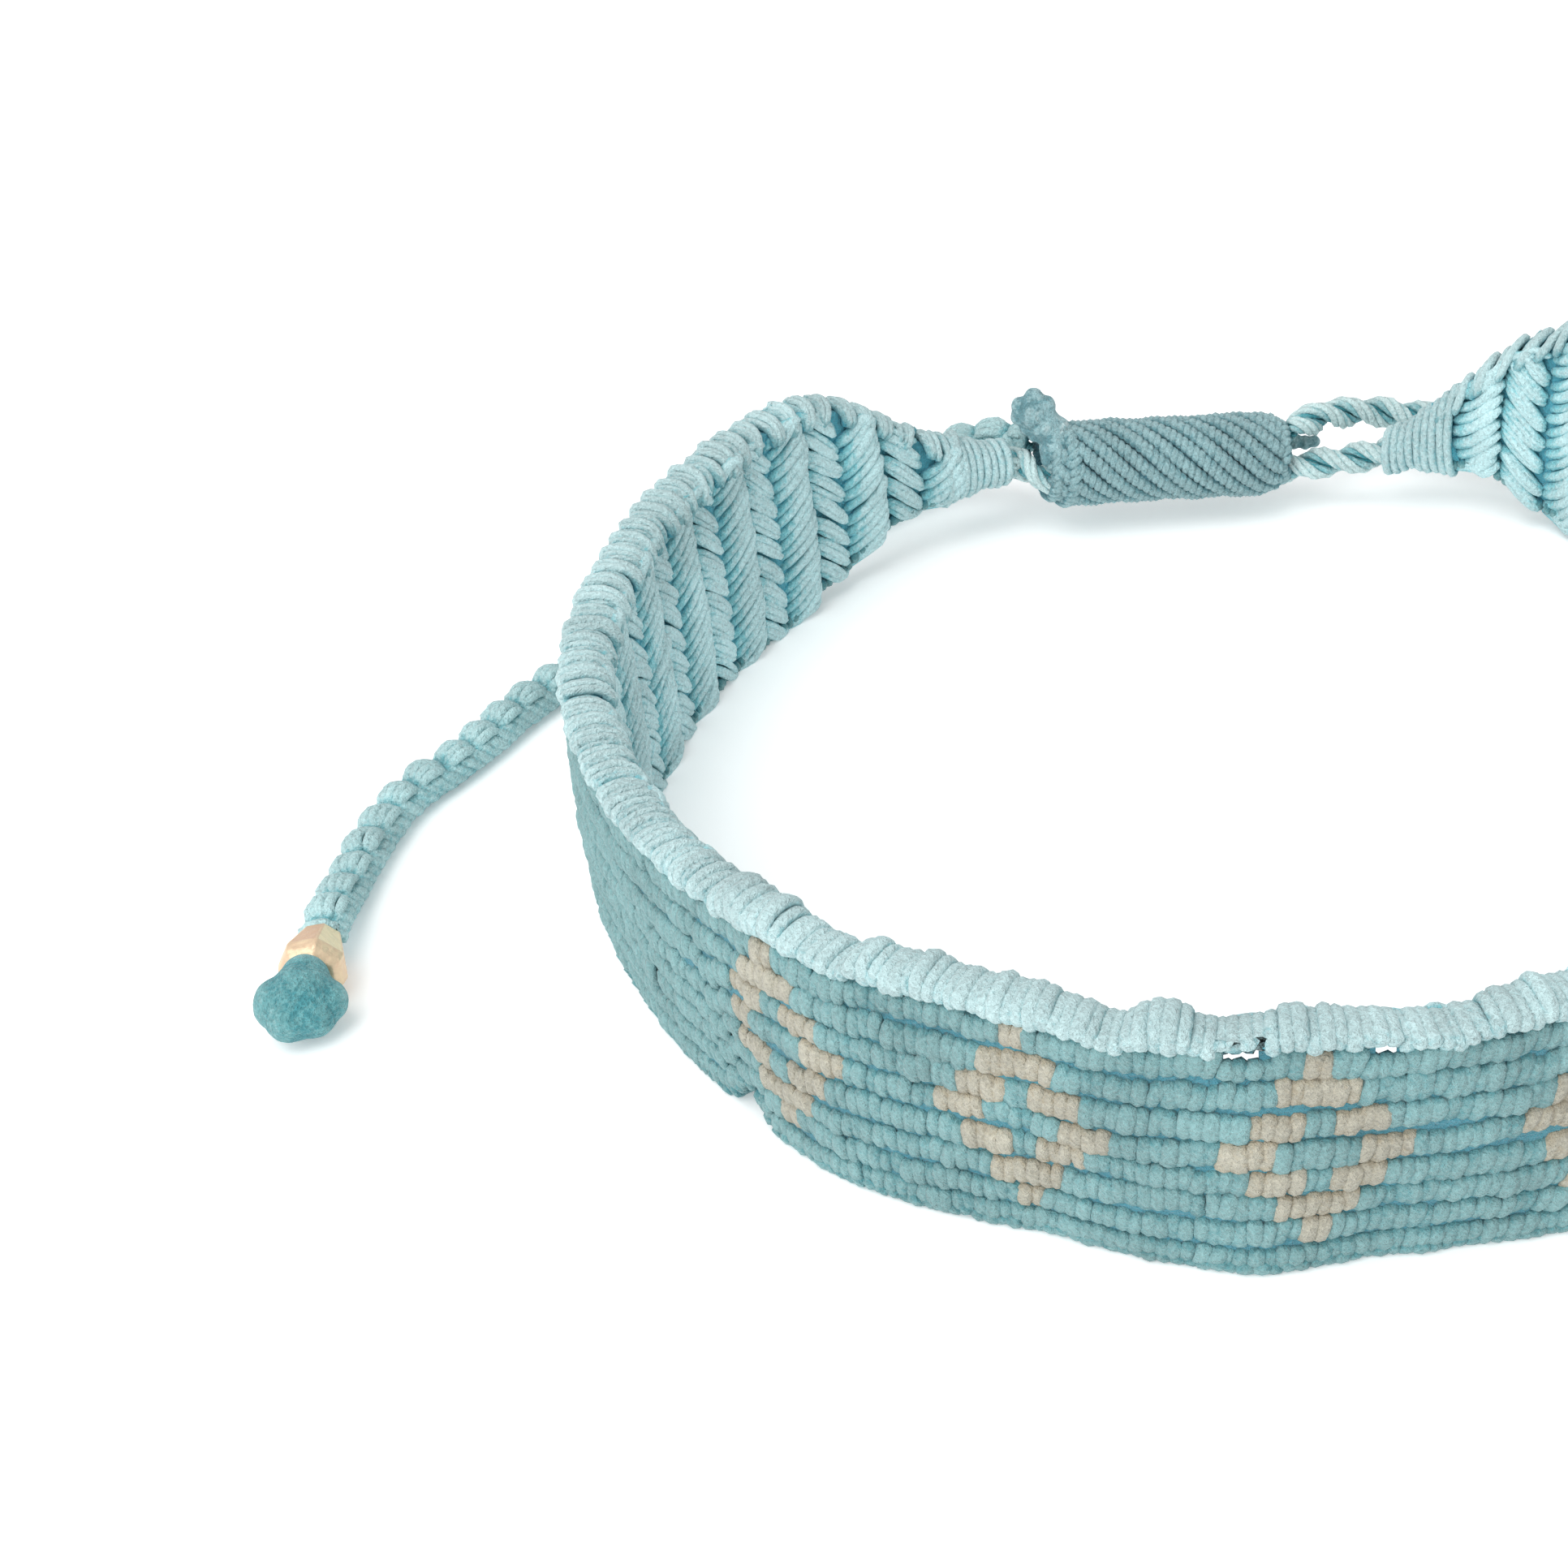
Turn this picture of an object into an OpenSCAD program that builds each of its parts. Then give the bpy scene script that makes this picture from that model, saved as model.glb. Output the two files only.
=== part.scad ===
// Friendship bracelet: a knotted band bent into an upright ring, closed by two tie cords in a sliding knot.
// The ring stands on its lower edge at z = 0. Angles are counted from the front (-Y) toward the right (+X).

/* [Ring] */
// Width of the wrist's opening, between the inner faces
wrist_d = 55.2; // [52:0.2:60]
// Angle from the front to the middle of the closure
closure_turn = 169; // [165:1:173]
// Angle left open between the tips of the two whippings
closure_gap = 43; // [41:1:50]

/* [Woven band] */
// Height of the band, from its lower edge to its rim
band_h = 11.6; // [10.5:0.1:12.5]
// Thickness of the band
band_t = 2; // [1.8:0.05:2.3]
// Height of one row of knots
knot_row_h = 1.29; // [1.1:0.01:1.5]
// How far a row of knots stands out between its seams
row_relief = 0.18; // [0.1:0.01:0.25]
// Spacing of the ridges on the inner face
ridge_pitch = 4.8; // [4.4:0.1:5.4]
// How far a ridge stands out from the inner face
ridge_relief = 0.3; // [0.15:0.01:0.4]
// Height of the notch in the lower edge
notch_h = 1.8; // [1:0.1:2.4]
// Width of the larger eyelet under the rim
eyelet_w = 1; // [0.6:0.05:1.3]
// Height of the eyelets
eyelet_h = 0.4; // [0.3:0.05:0.5]

/* [Tapered ends] */
// Length of the left taper
left_taper = 11.4; // [10:0.1:13]
// Length of the right taper
right_taper = 8; // [7:0.1:10]
// Length of the left whipping
left_whip_len = 3.5; // [3:0.1:4.5]
// Length of the right whipping
right_whip_len = 3.3; // [2.8:0.1:4.2]
// Thickness of the whipping thread
whip_wall = 0.38; // [0.3:0.01:0.5]
// Height of the left tip above the table
left_tip_z = 4.2; // [3.8:0.1:4.8]
// Height of the right tip above the table
right_tip_z = 3.4; // [3.2:0.1:3.8]
// How far the left tip lies inside the ring's middle line
left_tip_in = 0.9; // [0.6:0.1:1.2]
// How far the right tip lies inside the ring's middle line
right_tip_in = 1.6; // [1.2:0.1:2]

/* [Closure] */
// Diameter of the tie cords
cord_d = 1.7; // [1.5:0.05:1.8]
// Length of the sliding knot
knot_len = 12.4; // [11.5:0.1:13]
// Diameter of the sliding knot over its turns of thread
knot_d = 4.8; // [4.7:0.1:5.3]
// How far the turns stand out from the grooves between them
turn_relief = 0.22; // [0.1:0.01:0.25]
// Distance from the left whipping to the sliding knot
knot_lead = 2.3; // [2:0.1:3]
// Height of the sliding knot's left end above the table
knot_left_z = 3.9; // [3.6:0.1:4.4]
// Height of the sliding knot's right end above the table
knot_right_z = 3.4; // [3.2:0.1:3.8]
// How far the right end of the sliding knot swings outward
knot_swing = 0.7; // [0.4:0.1:1]
// Thickness of the cut thread end over the sliding knot
knot_end_d = 2.3; // [2:0.1:2.6]
// Length of that thread end
knot_end_len = 2.9; // [2.4:0.1:3.4]
// Thickness of the cut thread end between the cords
low_end_d = 0.8; // [0.6:0.05:0.9]
// Length of the thread end between the cords
low_end_len = 2.6; // [2:0.1:3]

/* [Beads and end knots] */
// Diameter of a bead
bead_d = 3.2; // [2.9:0.1:3.4]
// Length of a bead
bead_len = 2.6; // [2.3:0.1:2.9]
// Bore of a bead
bead_bore = 1.2; // [1:0.05:1.4]
// Width of an end knot
end_knot_d = 4.2; // [3.8:0.1:4.4]
// Length of an end knot
end_knot_len = 4; // [3.6:0.1:4.3]

/* [Fits] */
// Gap left between pieces that touch softly
fit_gap = 0.1; // [0.06:0.01:0.15]

/* [Hidden] */

band_color = "#9CCDD1";
knot_color = "#7FA9AE";
cord_color = "#8FC6CA";
bead_color = "#C9A98A";
felt_color = "#5FA6AC";

// Tapered ends, columns: share of the taper, lower edge and upper edge as shares of the band's height
left_edges = [[0, 0, 1], [0.2, 0.07, 0.99], [0.35, 0.09, 0.955], [0.5, 0.155, 0.885],
    [0.65, 0.22, 0.775], [0.8, 0.245, 0.65], [1, 0.26, 0.53]];
right_edges = [[0, 0, 1], [0.2, 0.065, 0.99], [0.4, 0.1, 0.92], [0.6, 0.19, 0.835],
    [0.8, 0.25, 0.715], [1, 0.225, 0.56]];

// Bends of the band in plan, columns: angle, lower edge and upper edge outward as shares of the thickness
plan_bends = [[-180, 0, 0], [-110, 0, 0], [-93, 0.4, 0.2], [-77, 0.05, 0.2], [-60, -0.05, 0.25],
    [-48, 0.15, 0.3], [-38, -0.15, 0.1], [-32, -0.35, 0.2], [-25, -0.15, 0.4], [-16, 0.1, 0.3],
    [-8, -0.3, 0.3], [0, -0.25, 0.35], [8, 0, 0.15], [30, 0, 0], [180, 0, 0]];

// The whipped ends, columns: share of the whipping, size of what it holds from band (1) to cord (0)
whip_shape = [[0, 1], [0.35, 0.45], [0.62, 0], [1, 0]];
// Share of the whipping at which the band's tongue meets the cord, and the tongue's share of the thickness
tongue_share = 0.62;
tongue_fill = 0.9;
whip_shares = [0, 0.35, tongue_share, 0.85, 1];

// The ring's middle, set so that the box of the ring and its closure is centred on the origin
ring_mid = [0.3, 0.5, 0];

// Routes of the free cords from the sliding knot, about the ring's middle
right_route = [[9.8, 24.9, 4.4], [11.3, 25.6, 4.5], [13, 26.2, 4.3], [15.3, 26.1, 4], [17.6, 25, 3.8],
    [20, 23.5, 3.4], [22, 21.8, 2.7], [24, 20, 2], [26, 18, 1.3], [28.2, 15.5, 0.9], [30.6, 12.6, 0.9],
    [33.6, 8.3, 0.9], [35.4, 5.6, 0.9], [36.6, 2.6, 0.9], [37.3, 0.4, 0.9], [37.9, -1.6, 0.9],
    [38.5, -3.4, 0.9], [39, -5, 0.9], [39.4, -6.8, 0.9], [39.6, -8.6, 0.9], [39.6, -10.4, 0.9],
    [39.5, -12.3, 1], [39.3, -14.2, 1.2], [39.1, -15.5, 1.5], [38.9, -16.8, 1.5]];
left_route = [[-3.5, 28.5, 4.4], [-4.6, 29.5, 4.3], [-6.2, 30.5, 3.9], [-8.2, 31, 3.2], [-10.6, 30.7, 2.4],
    [-13.4, 29.4, 1.6], [-17.5, 26.9, 1], [-22.7, 23.7, 0.9], [-28, 20.1, 0.9], [-30.5, 18.2, 0.9],
    [-32.9, 16, 0.9], [-34.2, 14.5, 0.9], [-35.4, 13.2, 0.9], [-36.6, 12, 0.9], [-37.9, 10.9, 0.9],
    [-39.1, 9.5, 0.9], [-40, 7.7, 0.9], [-40.8, 5.8, 0.9], [-41.4, 3.9, 1], [-41.9, 2.2, 1.2],
    [-42.2, 0.8, 1.5], [-42.5, -0.7, 1.5]];

mid_r = wrist_d / 2 + band_t / 2;
rows = round(band_h / knot_row_h);
ridge_steps = 3;
cord_sides = 8;
whip_sides = 16;

// Angle that a length takes up on the ring's middle line
function arc(length) = length / mid_r * 180 / PI;
function clamp01(v) = min(1, max(0, v));
function mix(a, b, s) = a + (b - a) * s;
function unit(v) = v / norm(v);
function column(table, c) = [for (row = table) [row[0], row[c]]];

left_tip = closure_turn + closure_gap / 2 - 360;
right_tip = closure_turn - closure_gap / 2;
left_mouth = left_tip + arc(left_whip_len);
right_mouth = right_tip - arc(right_whip_len);
left_full = left_mouth + arc(left_taper);
right_full = right_mouth - arc(right_taper);

// Shares of the left and right taper that an angle has passed
function left_share(a) = clamp01((left_full - a) / (left_full - left_mouth));
function right_share(a) = clamp01((a - right_full) / (right_mouth - right_full));
// Share of the whipping that an angle has passed, 0 before its mouth
function whip_share(a) = a < 0 ? clamp01((left_mouth - a) / (left_mouth - left_tip))
    : clamp01((a - right_mouth) / (right_tip - right_mouth));

// Radius of the middle line, drawn in toward each tip
function path_r(a) = mid_r
    - left_tip_in * pow(clamp01((left_full - a) / (left_full - left_tip)), 2)
    - right_tip_in * pow(clamp01((a - right_full) / (right_tip - right_full)), 2);

notch_at = -58.5;
notch_half = 2.8;
function notch(a) = notch_h * max(0, 1 - abs(a - notch_at) / notch_half);
function lower_z(a) = band_h * (a < 0 ? lookup(left_share(a), column(left_edges, 1))
    : lookup(right_share(a), column(right_edges, 1)));
function upper_z(a) = band_h * (a < 0 ? lookup(left_share(a), column(left_edges, 2))
    : lookup(right_share(a), column(right_edges, 2)));

// What a whipping holds at an angle: middle height, half height and half thickness
function hold(a) = let(s = whip_share(a), k = lookup(s, whip_shape), z0 = lower_z(a), z1 = upper_z(a),
    tip_z = a < 0 ? left_tip_z : right_tip_z)
    [mix((z0 + z1) / 2, tip_z, s), mix(cord_d / 2, (z1 - z0) / 2, k),
        mix(cord_d / 2, tongue_fill * band_t / 2, k)];

function at(a, r, z) = ring_mid + [r * sin(a), -r * cos(a), z];

// Side faces of m rings of n points, closed into a loop of rings when loop is true
function ring_faces(m, n, loop = false) = [for (i = [0:(loop ? m - 1 : m - 2)], j = [0:n - 1])
    let(k = (i + 1) % m, l = (j + 1) % n)
    each [[i * n + j, i * n + l, k * n + l], [i * n + j, k * n + l, k * n + j]]];
// Caps of the first and last ring
function cap_faces(m, n) = [[for (j = [n - 1:-1:0]) j], [for (j = [0:n - 1]) (m - 1) * n + j]];

// A closed solid through rings along a run, each listed anticlockwise as seen looking along the run
module skin(rings) {
    n = len(rings[0]);
    polyhedron([for (ring = rings) each ring], concat(ring_faces(len(rings), n), cap_faces(len(rings), n)),
        convexity = 10);
}

// A sleeve: the rings of its outside, then those of its inside, both along the run
module sleeve(outer, inner) {
    n = len(outer[0]);
    m = len(outer);
    rings = concat(outer, [for (i = [m - 1:-1:0]) inner[i]]);
    polyhedron([for (ring = rings) each ring], ring_faces(2 * m, n, true), convexity = 10);
}

// Section of the band at an angle: up the outer face with its rows, over the rim, down the inner face
outer_points = 2 * rows;
inner_points = 6;
function ridge(a) = let(p = (a - ridge_at) / ridge_step_deg) ridge_relief * abs(2 * (p - floor(p)) - 1);
function bulge(v, k) = sqrt(1 - k * pow(2 * v - 1, 2));
function bend(a, v) = band_t * mix(lookup(a, column(plan_bends, 1)), lookup(a, column(plan_bends, 2)), v);
function band_ring(a, z0, z1, half_t, round_k, relief) = [
    for (i = [0:outer_points]) let(v = i / outer_points,
        seam = i % 2 == 0 ? row_relief : 0,
        r = path_r(a) + half_t * bulge(v, round_k) + (bend(a, v) - seam) * relief)
        at(a, r, mix(z0, z1, v)),
    for (i = [inner_points:-1:0]) let(v = i / inner_points,
        r = path_r(a) - half_t * bulge(v, round_k) + (bend(a, v) + ridge_relief - ridge(a)) * relief)
        at(a, r, mix(z0, z1, v))];

ridge_at = -14;
ridge_step_deg = ridge_pitch / (wrist_d / 2) * 180 / PI;
ring_step = ridge_step_deg / ridge_steps;
// Least share of a step that the first and last sections keep from the mouths of the whippings
mouth_room = 0.4;
k_first = ceil((left_mouth - ridge_at) / ring_step + mouth_room);
k_last = floor((right_mouth - ridge_at) / ring_step - mouth_room);
body_angles = concat([left_mouth], [for (k = [k_first:k_last]) ridge_at + k * ring_step], [right_mouth]);

// Roundness of the section in the body, where a taper ends and in a whipping, and the relief a taper loses
section_round = [0.4, 0.9, 0.95];
relief_loss = 0.6;
function taper_share(a) = max(left_share(a), right_share(a));
function body_ring(a) = let(s = taper_share(a), h = hold(a))
    band_ring(a, lower_z(a) + notch(a), upper_z(a), mix(band_t / 2, h[2], s),
        mix(section_round[0], section_round[1], s), 1 - relief_loss * s);
function tongue_ring(a) = let(h = hold(a)) band_ring(a, h[0] - h[1], h[0] + h[1], h[2], section_round[2], 0);

// Eyelets under the rim, columns: angle, height as a share of the band's, width as a share of eyelet_w
eyelets = [[-17, 0.93, 1], [-7.8, 0.955, 0.5]];
eyelet_slope = 42;
module eyelet_cut(a, z, w) {
    translate(at(a, mid_r, z)) rotate([0, 0, a]) rotate([eyelet_slope, 0, 0])
        cube([w, 4 * band_t, eyelet_h], center = true);
}

module woven_band() {
    left_angles = [for (i = [2, 1]) mix(left_mouth, left_tip, whip_shares[i])];
    right_angles = [for (i = [1, 2]) mix(right_mouth, right_tip, whip_shares[i])];
    rings = concat([for (a = left_angles) tongue_ring(a)], [for (a = body_angles) body_ring(a)],
        [for (a = right_angles) tongue_ring(a)]);
    color(band_color) difference() {
        skin(rings);
        for (row = eyelets)
            eyelet_cut(row[0], row[1] * band_h - band_t / 2 * tan(eyelet_slope), row[2] * eyelet_w);
    }
}

// Sections of a whipping round what it holds, grown by a margin
function whip_ring(a, margin) = let(h = hold(a))
    [for (j = [0:whip_sides - 1]) let(t = 360 * j / whip_sides)
        at(a, path_r(a) + (h[2] + margin) * cos(t), h[0] + (h[1] + margin) * sin(t))];

module whipping(from, to) {
    angles = [for (s = whip_shares) mix(from, to, s)];
    sorted = from < to ? angles : [for (i = [len(angles) - 1:-1:0]) angles[i]];
    slack = 1.5 * fit_gap;
    color(cord_color)
        sleeve([for (a = sorted) whip_ring(a, slack + whip_wall)], [for (a = sorted) whip_ring(a, slack)]);
}

module whipping_left() {
    whipping(left_mouth, left_tip);
}

module whipping_right() {
    whipping(right_mouth, right_tip);
}

// The closure: both whipping tips, and the axis of the sliding knot between them
up = [0, 0, 1];
left_tip_at = at(left_tip, path_r(left_tip), left_tip_z);
right_tip_at = at(right_tip, path_r(right_tip), right_tip_z);
closure_dir = unit([right_tip_at.x - left_tip_at.x, right_tip_at.y - left_tip_at.y, 0]);
closure_out = [-closure_dir.y, closure_dir.x, 0];
function over(p, z) = [p.x, p.y, z];
knot_left = over(left_tip_at + knot_lead * closure_dir, knot_left_z);
knot_aim = over(left_tip_at + (knot_lead + knot_len) * closure_dir + knot_swing * closure_out, knot_right_z);
knot_dir = unit(knot_aim - knot_left);
knot_in = unit(cross(knot_dir, up));
knot_up = cross(knot_in, knot_dir);

// The two cords lie side by side at the knot's left end and one over the other at its right end
cord_spacing = cord_d + 2 * fit_gap;
pass_turn = [-25, 90];
function in_knot(s, side) = let(t = mix(pass_turn[0], pass_turn[1], s))
    knot_left + s * knot_len * knot_dir + side * cord_spacing / 2 * (cos(t) * knot_in + sin(t) * knot_up);
pass_shares = [0, 0.2, 0.4, 0.6, 0.8, 1];

// A cord starts inside its whipping, clear of the band's tongue, and leaves the whipping straight
start_gap = 4 * fit_gap;
exit_run = 0.4;
function held_at(from, to, share) = let(a = mix(from, to, share)) at(a, path_r(a), hold(a)[0]);
function held_start(from, to, whip_len) = let(tip = held_at(from, to, 1),
    start = held_at(from, to, tongue_share + start_gap / whip_len))
    [start, tip, tip + exit_run * unit(tip - start)];
left_held = concat(held_start(left_mouth, left_tip, left_whip_len), [for (s = pass_shares) in_knot(s, 1)]);
right_held = concat(held_start(right_mouth, right_tip, right_whip_len),
    [for (i = [len(pass_shares) - 1:-1:0]) in_knot(pass_shares[i], -1)]);
left_cord = concat(left_held, [for (p = right_route) ring_mid + p]);
right_cord = concat(right_held, [for (p = left_route) ring_mid + p]);

// Rings round a route, each square to the mean of the directions that meet at its point
function route_dir(route, i) = unit(route[min(i + 1, len(route) - 1)] - route[max(i - 1, 0)]);
function cord_rings(route, d) = [for (i = [0:len(route) - 1])
    let(dir = route_dir(route, i), side = unit(cross(dir, up)), top = cross(side, dir))
    [for (j = [0:cord_sides - 1]) let(t = 360 * (j + 0.5) / cord_sides)
        route[i] + d / 2 * (cos(t) * side + sin(t) * top)]];
module cord_stretch(route, first, last) {
    rings = cord_rings(route, cord_d);
    color(cord_color) skin([for (i = [first:last]) rings[i]]);
}

module tie_cord_left() {
    cord_stretch(left_cord, 0, len(left_held));
}

module tie_cord_right() {
    cord_stretch(right_cord, 0, len(right_held));
}

module tail_right() {
    cord_stretch(left_cord, len(left_held), len(left_cord) - 1);
}

module tail_left() {
    cord_stretch(right_cord, len(right_held), len(right_cord) - 1);
}

// The sliding knot, a round bar of diagonal turns with soft ends, columns: share of length, share of radius
knot_shape = [[0, 0.72], [0.05, 0.92], [0.12, 1], [0.5, 0.96], [0.9, 0.97], [0.96, 0.88], [1, 0.7]];
knot_turns = 10;
knot_turn_points = 3;
knot_twist = 400;
knot_slices = 14;
function knot_ring(s) = let(r = knot_d / 2 * lookup(s, knot_shape), n = knot_turns * knot_turn_points)
    [for (j = [0:n - 1])
        let(t = 360 * j / n - knot_twist * s, dr = (j % knot_turn_points == 0) ? turn_relief : 0)
        knot_left + s * knot_len * knot_dir + (r - dr) * (cos(t) * knot_in + sin(t) * knot_up)];

// Where the cut ends of its thread leave it, as shares of its diameter along, inward and up, and their way
upper_end_at = [0.04, 0, 0.25];
upper_end_dir = [-0.55, -0.1, 0.8];
low_end_at = [-0.08, -0.28, 0];
low_end_dir = [1, 0, -0.12];
function in_axes(v) = v.x * knot_dir + v.y * knot_in + v.z * knot_up;
module thread_end(from, dir, d, length) {
    hull() {
        translate(from) sphere(d = 0.8 * d, $fn = 12);
        translate(from + (length - d / 2) * dir) sphere(d = d, $fn = 12);
    }
}

// A passage for one cord, wide enough for its gap all round though its balls are faceted
ball_fill = 0.96;
module passage(route) {
    for (i = [0:len(route) - 2]) hull() {
        translate(route[i]) sphere(d = (cord_d + 2 * fit_gap) / ball_fill, $fn = 16);
        translate(route[i + 1]) sphere(d = (cord_d + 2 * fit_gap) / ball_fill, $fn = 16);
    }
}

module sliding_knot() {
    shares = concat([0, 0.03], [for (i = [1:knot_slices - 1]) i / knot_slices], [0.97, 1]);
    first = len(left_held) - len(pass_shares) - 1;
    color(knot_color) difference() {
        union() {
            skin([for (s = shares) knot_ring(s)]);
            thread_end(knot_left + knot_d * in_axes(upper_end_at), unit(in_axes(upper_end_dir)),
                knot_end_d, knot_end_len);
            thread_end(knot_left + knot_len * knot_dir + knot_d * in_axes(low_end_at),
                unit(in_axes(low_end_dir)), low_end_d, low_end_len);
        }
        passage([for (i = [first:len(left_held)]) left_cord[i]]);
        passage([for (i = [first:len(right_held)]) right_cord[i]]);
    }
}

// Beads and end knots lie level at the end of each tail
function tail_dir(route) = let(n = len(route), v = route[n - 1] - route[n - 2]) unit([v.x, v.y, 0]);
function bead_start(route) = over(route[len(route) - 1] + fit_gap * tail_dir(route), bead_d / 2 + fit_gap);
// Turns and moves what is drawn along +Z so that it runs along a level direction, with +X downward
module level(from, dir) {
    translate(from) rotate([0, 90, atan2(dir.y, dir.x)]) children();
}
// Half outline of a bead, columns: share of its length, share of its radius
bead_shape = [[0, 0.6], [0.7, 1], [0.88, 0.95], [1, 0.75]];
bead_facets = 7;
module bead(route) {
    side = [for (row = bead_shape) [row[1] * bead_d / 2, row[0] * bead_len]];
    outline = concat([[0, 0]], side, [[0, bead_len]]);
    color(bead_color) level(bead_start(route), tail_dir(route)) difference() {
        rotate_extrude($fn = bead_facets) polygon(outline);
        translate([0, 0, -1]) cylinder(d = bead_bore, h = bead_len + 2, $fn = 32);
    }
}

module bead_left() {
    bead(right_cord);
}

module bead_right() {
    bead(left_cord);
}

// Lobes of an end knot, columns: share of its length, then sideways, downward and across as shares of width
end_lobes = [[0.2, 0.06, 0, 0.52], [0.55, -0.06, -0.03, 0.8], [0.36, 0.24, -0.03, 0.66],
    [0.62, 0.06, -0.02, 0.76]];
// The larger lobe lies on one side of the left knot, and side is -1 for its mirror image on the right
module end_knot(route, side) {
    color(felt_color) level(bead_start(route), tail_dir(route)) {
        cylinder(d = bead_bore - 2 * fit_gap, h = bead_len + end_knot_len / 2, $fn = 24);
        translate([0, 0, bead_len + fit_gap]) hull() for (lobe = end_lobes)
            translate([lobe[2] * end_knot_d, side * lobe[1] * end_knot_d, lobe[0] * end_knot_len])
                sphere(d = min(lobe[3] * end_knot_d, 2 * lobe[0] * end_knot_len), $fn = 20);
    }
}

module end_knot_left() {
    end_knot(right_cord, 1);
}

module end_knot_right() {
    end_knot(left_cord, -1);
}

woven_band();
whipping_left();
whipping_right();
tie_cord_left();
tie_cord_right();
sliding_knot();
tail_right();
tail_left();
bead_left();
bead_right();
end_knot_left();
end_knot_right();
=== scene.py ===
"""Friendship bracelet: knots, braids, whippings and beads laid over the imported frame."""
import logging
import math
from dataclasses import dataclass, field
from enum import Enum, StrEnum

import bmesh
import bpy
import numpy as np
from mathutils import Matrix, Vector

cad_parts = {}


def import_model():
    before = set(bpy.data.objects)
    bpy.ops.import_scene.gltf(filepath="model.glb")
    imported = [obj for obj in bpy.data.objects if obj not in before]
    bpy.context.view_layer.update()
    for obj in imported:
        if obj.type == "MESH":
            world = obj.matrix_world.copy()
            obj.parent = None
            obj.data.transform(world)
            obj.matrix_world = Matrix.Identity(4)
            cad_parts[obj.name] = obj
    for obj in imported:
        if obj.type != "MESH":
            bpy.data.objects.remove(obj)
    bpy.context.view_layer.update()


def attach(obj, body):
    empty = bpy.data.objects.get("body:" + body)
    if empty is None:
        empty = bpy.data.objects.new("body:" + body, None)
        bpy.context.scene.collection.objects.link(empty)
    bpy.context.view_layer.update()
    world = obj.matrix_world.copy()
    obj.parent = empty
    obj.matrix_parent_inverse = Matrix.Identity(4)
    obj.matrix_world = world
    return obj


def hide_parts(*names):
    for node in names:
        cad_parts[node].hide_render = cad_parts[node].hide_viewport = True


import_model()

log = logging.getLogger("bracelet")

MM = 0.001
UP = np.array([0.0, 0.0, 1.0])
RING_MID = np.array([0.3, 0.5, 0.0])
BODY = "root"
Number = float | np.ndarray


def srgb(red: int, green: int, blue: int) -> tuple[float, float, float, float]:
    """A screen colour, 0 to 255 a channel, as the linear colour that a shader takes.

    Args:
        red: the red channel.
        green: the green channel.
        blue: the blue channel.

    Returns:
        Red, green, blue and alpha.
    """
    def linear(c: float) -> float:
        """One channel."""
        return c / 12.92 if c <= 0.04045 else ((c + 0.055) / 1.055) ** 2.4

    return (linear(red / 255), linear(green / 255), linear(blue / 255), 1.0)


def unit(v: np.ndarray) -> np.ndarray:
    """Vectors along the last axis, made one long."""
    return v / np.maximum(np.linalg.norm(v, axis=-1, keepdims=True), 1e-12)


def mix(a: Number, b: Number, s: Number) -> Number:
    """The value a share s of the way from a to b."""
    return a + (b - a) * s


class Face(Enum):
    """A face of the band, and the way that it looks along the radius."""

    OUTER = 1.0
    INNER = -1.0


class Side(StrEnum):
    """An end of the band, with the whipping, cord and tail that belong to it."""

    LEFT = "left"
    RIGHT = "right"

    @property
    def hand(self) -> float:
        """The way that a mirrored piece is turned."""
        return 1.0 if self is Side.LEFT else -1.0


class Tone(Enum):
    """The colours of thread that the band is knotted from."""

    TEAL = "teal"
    CREAM = "cream"


# Sizes and run of the band.


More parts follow.
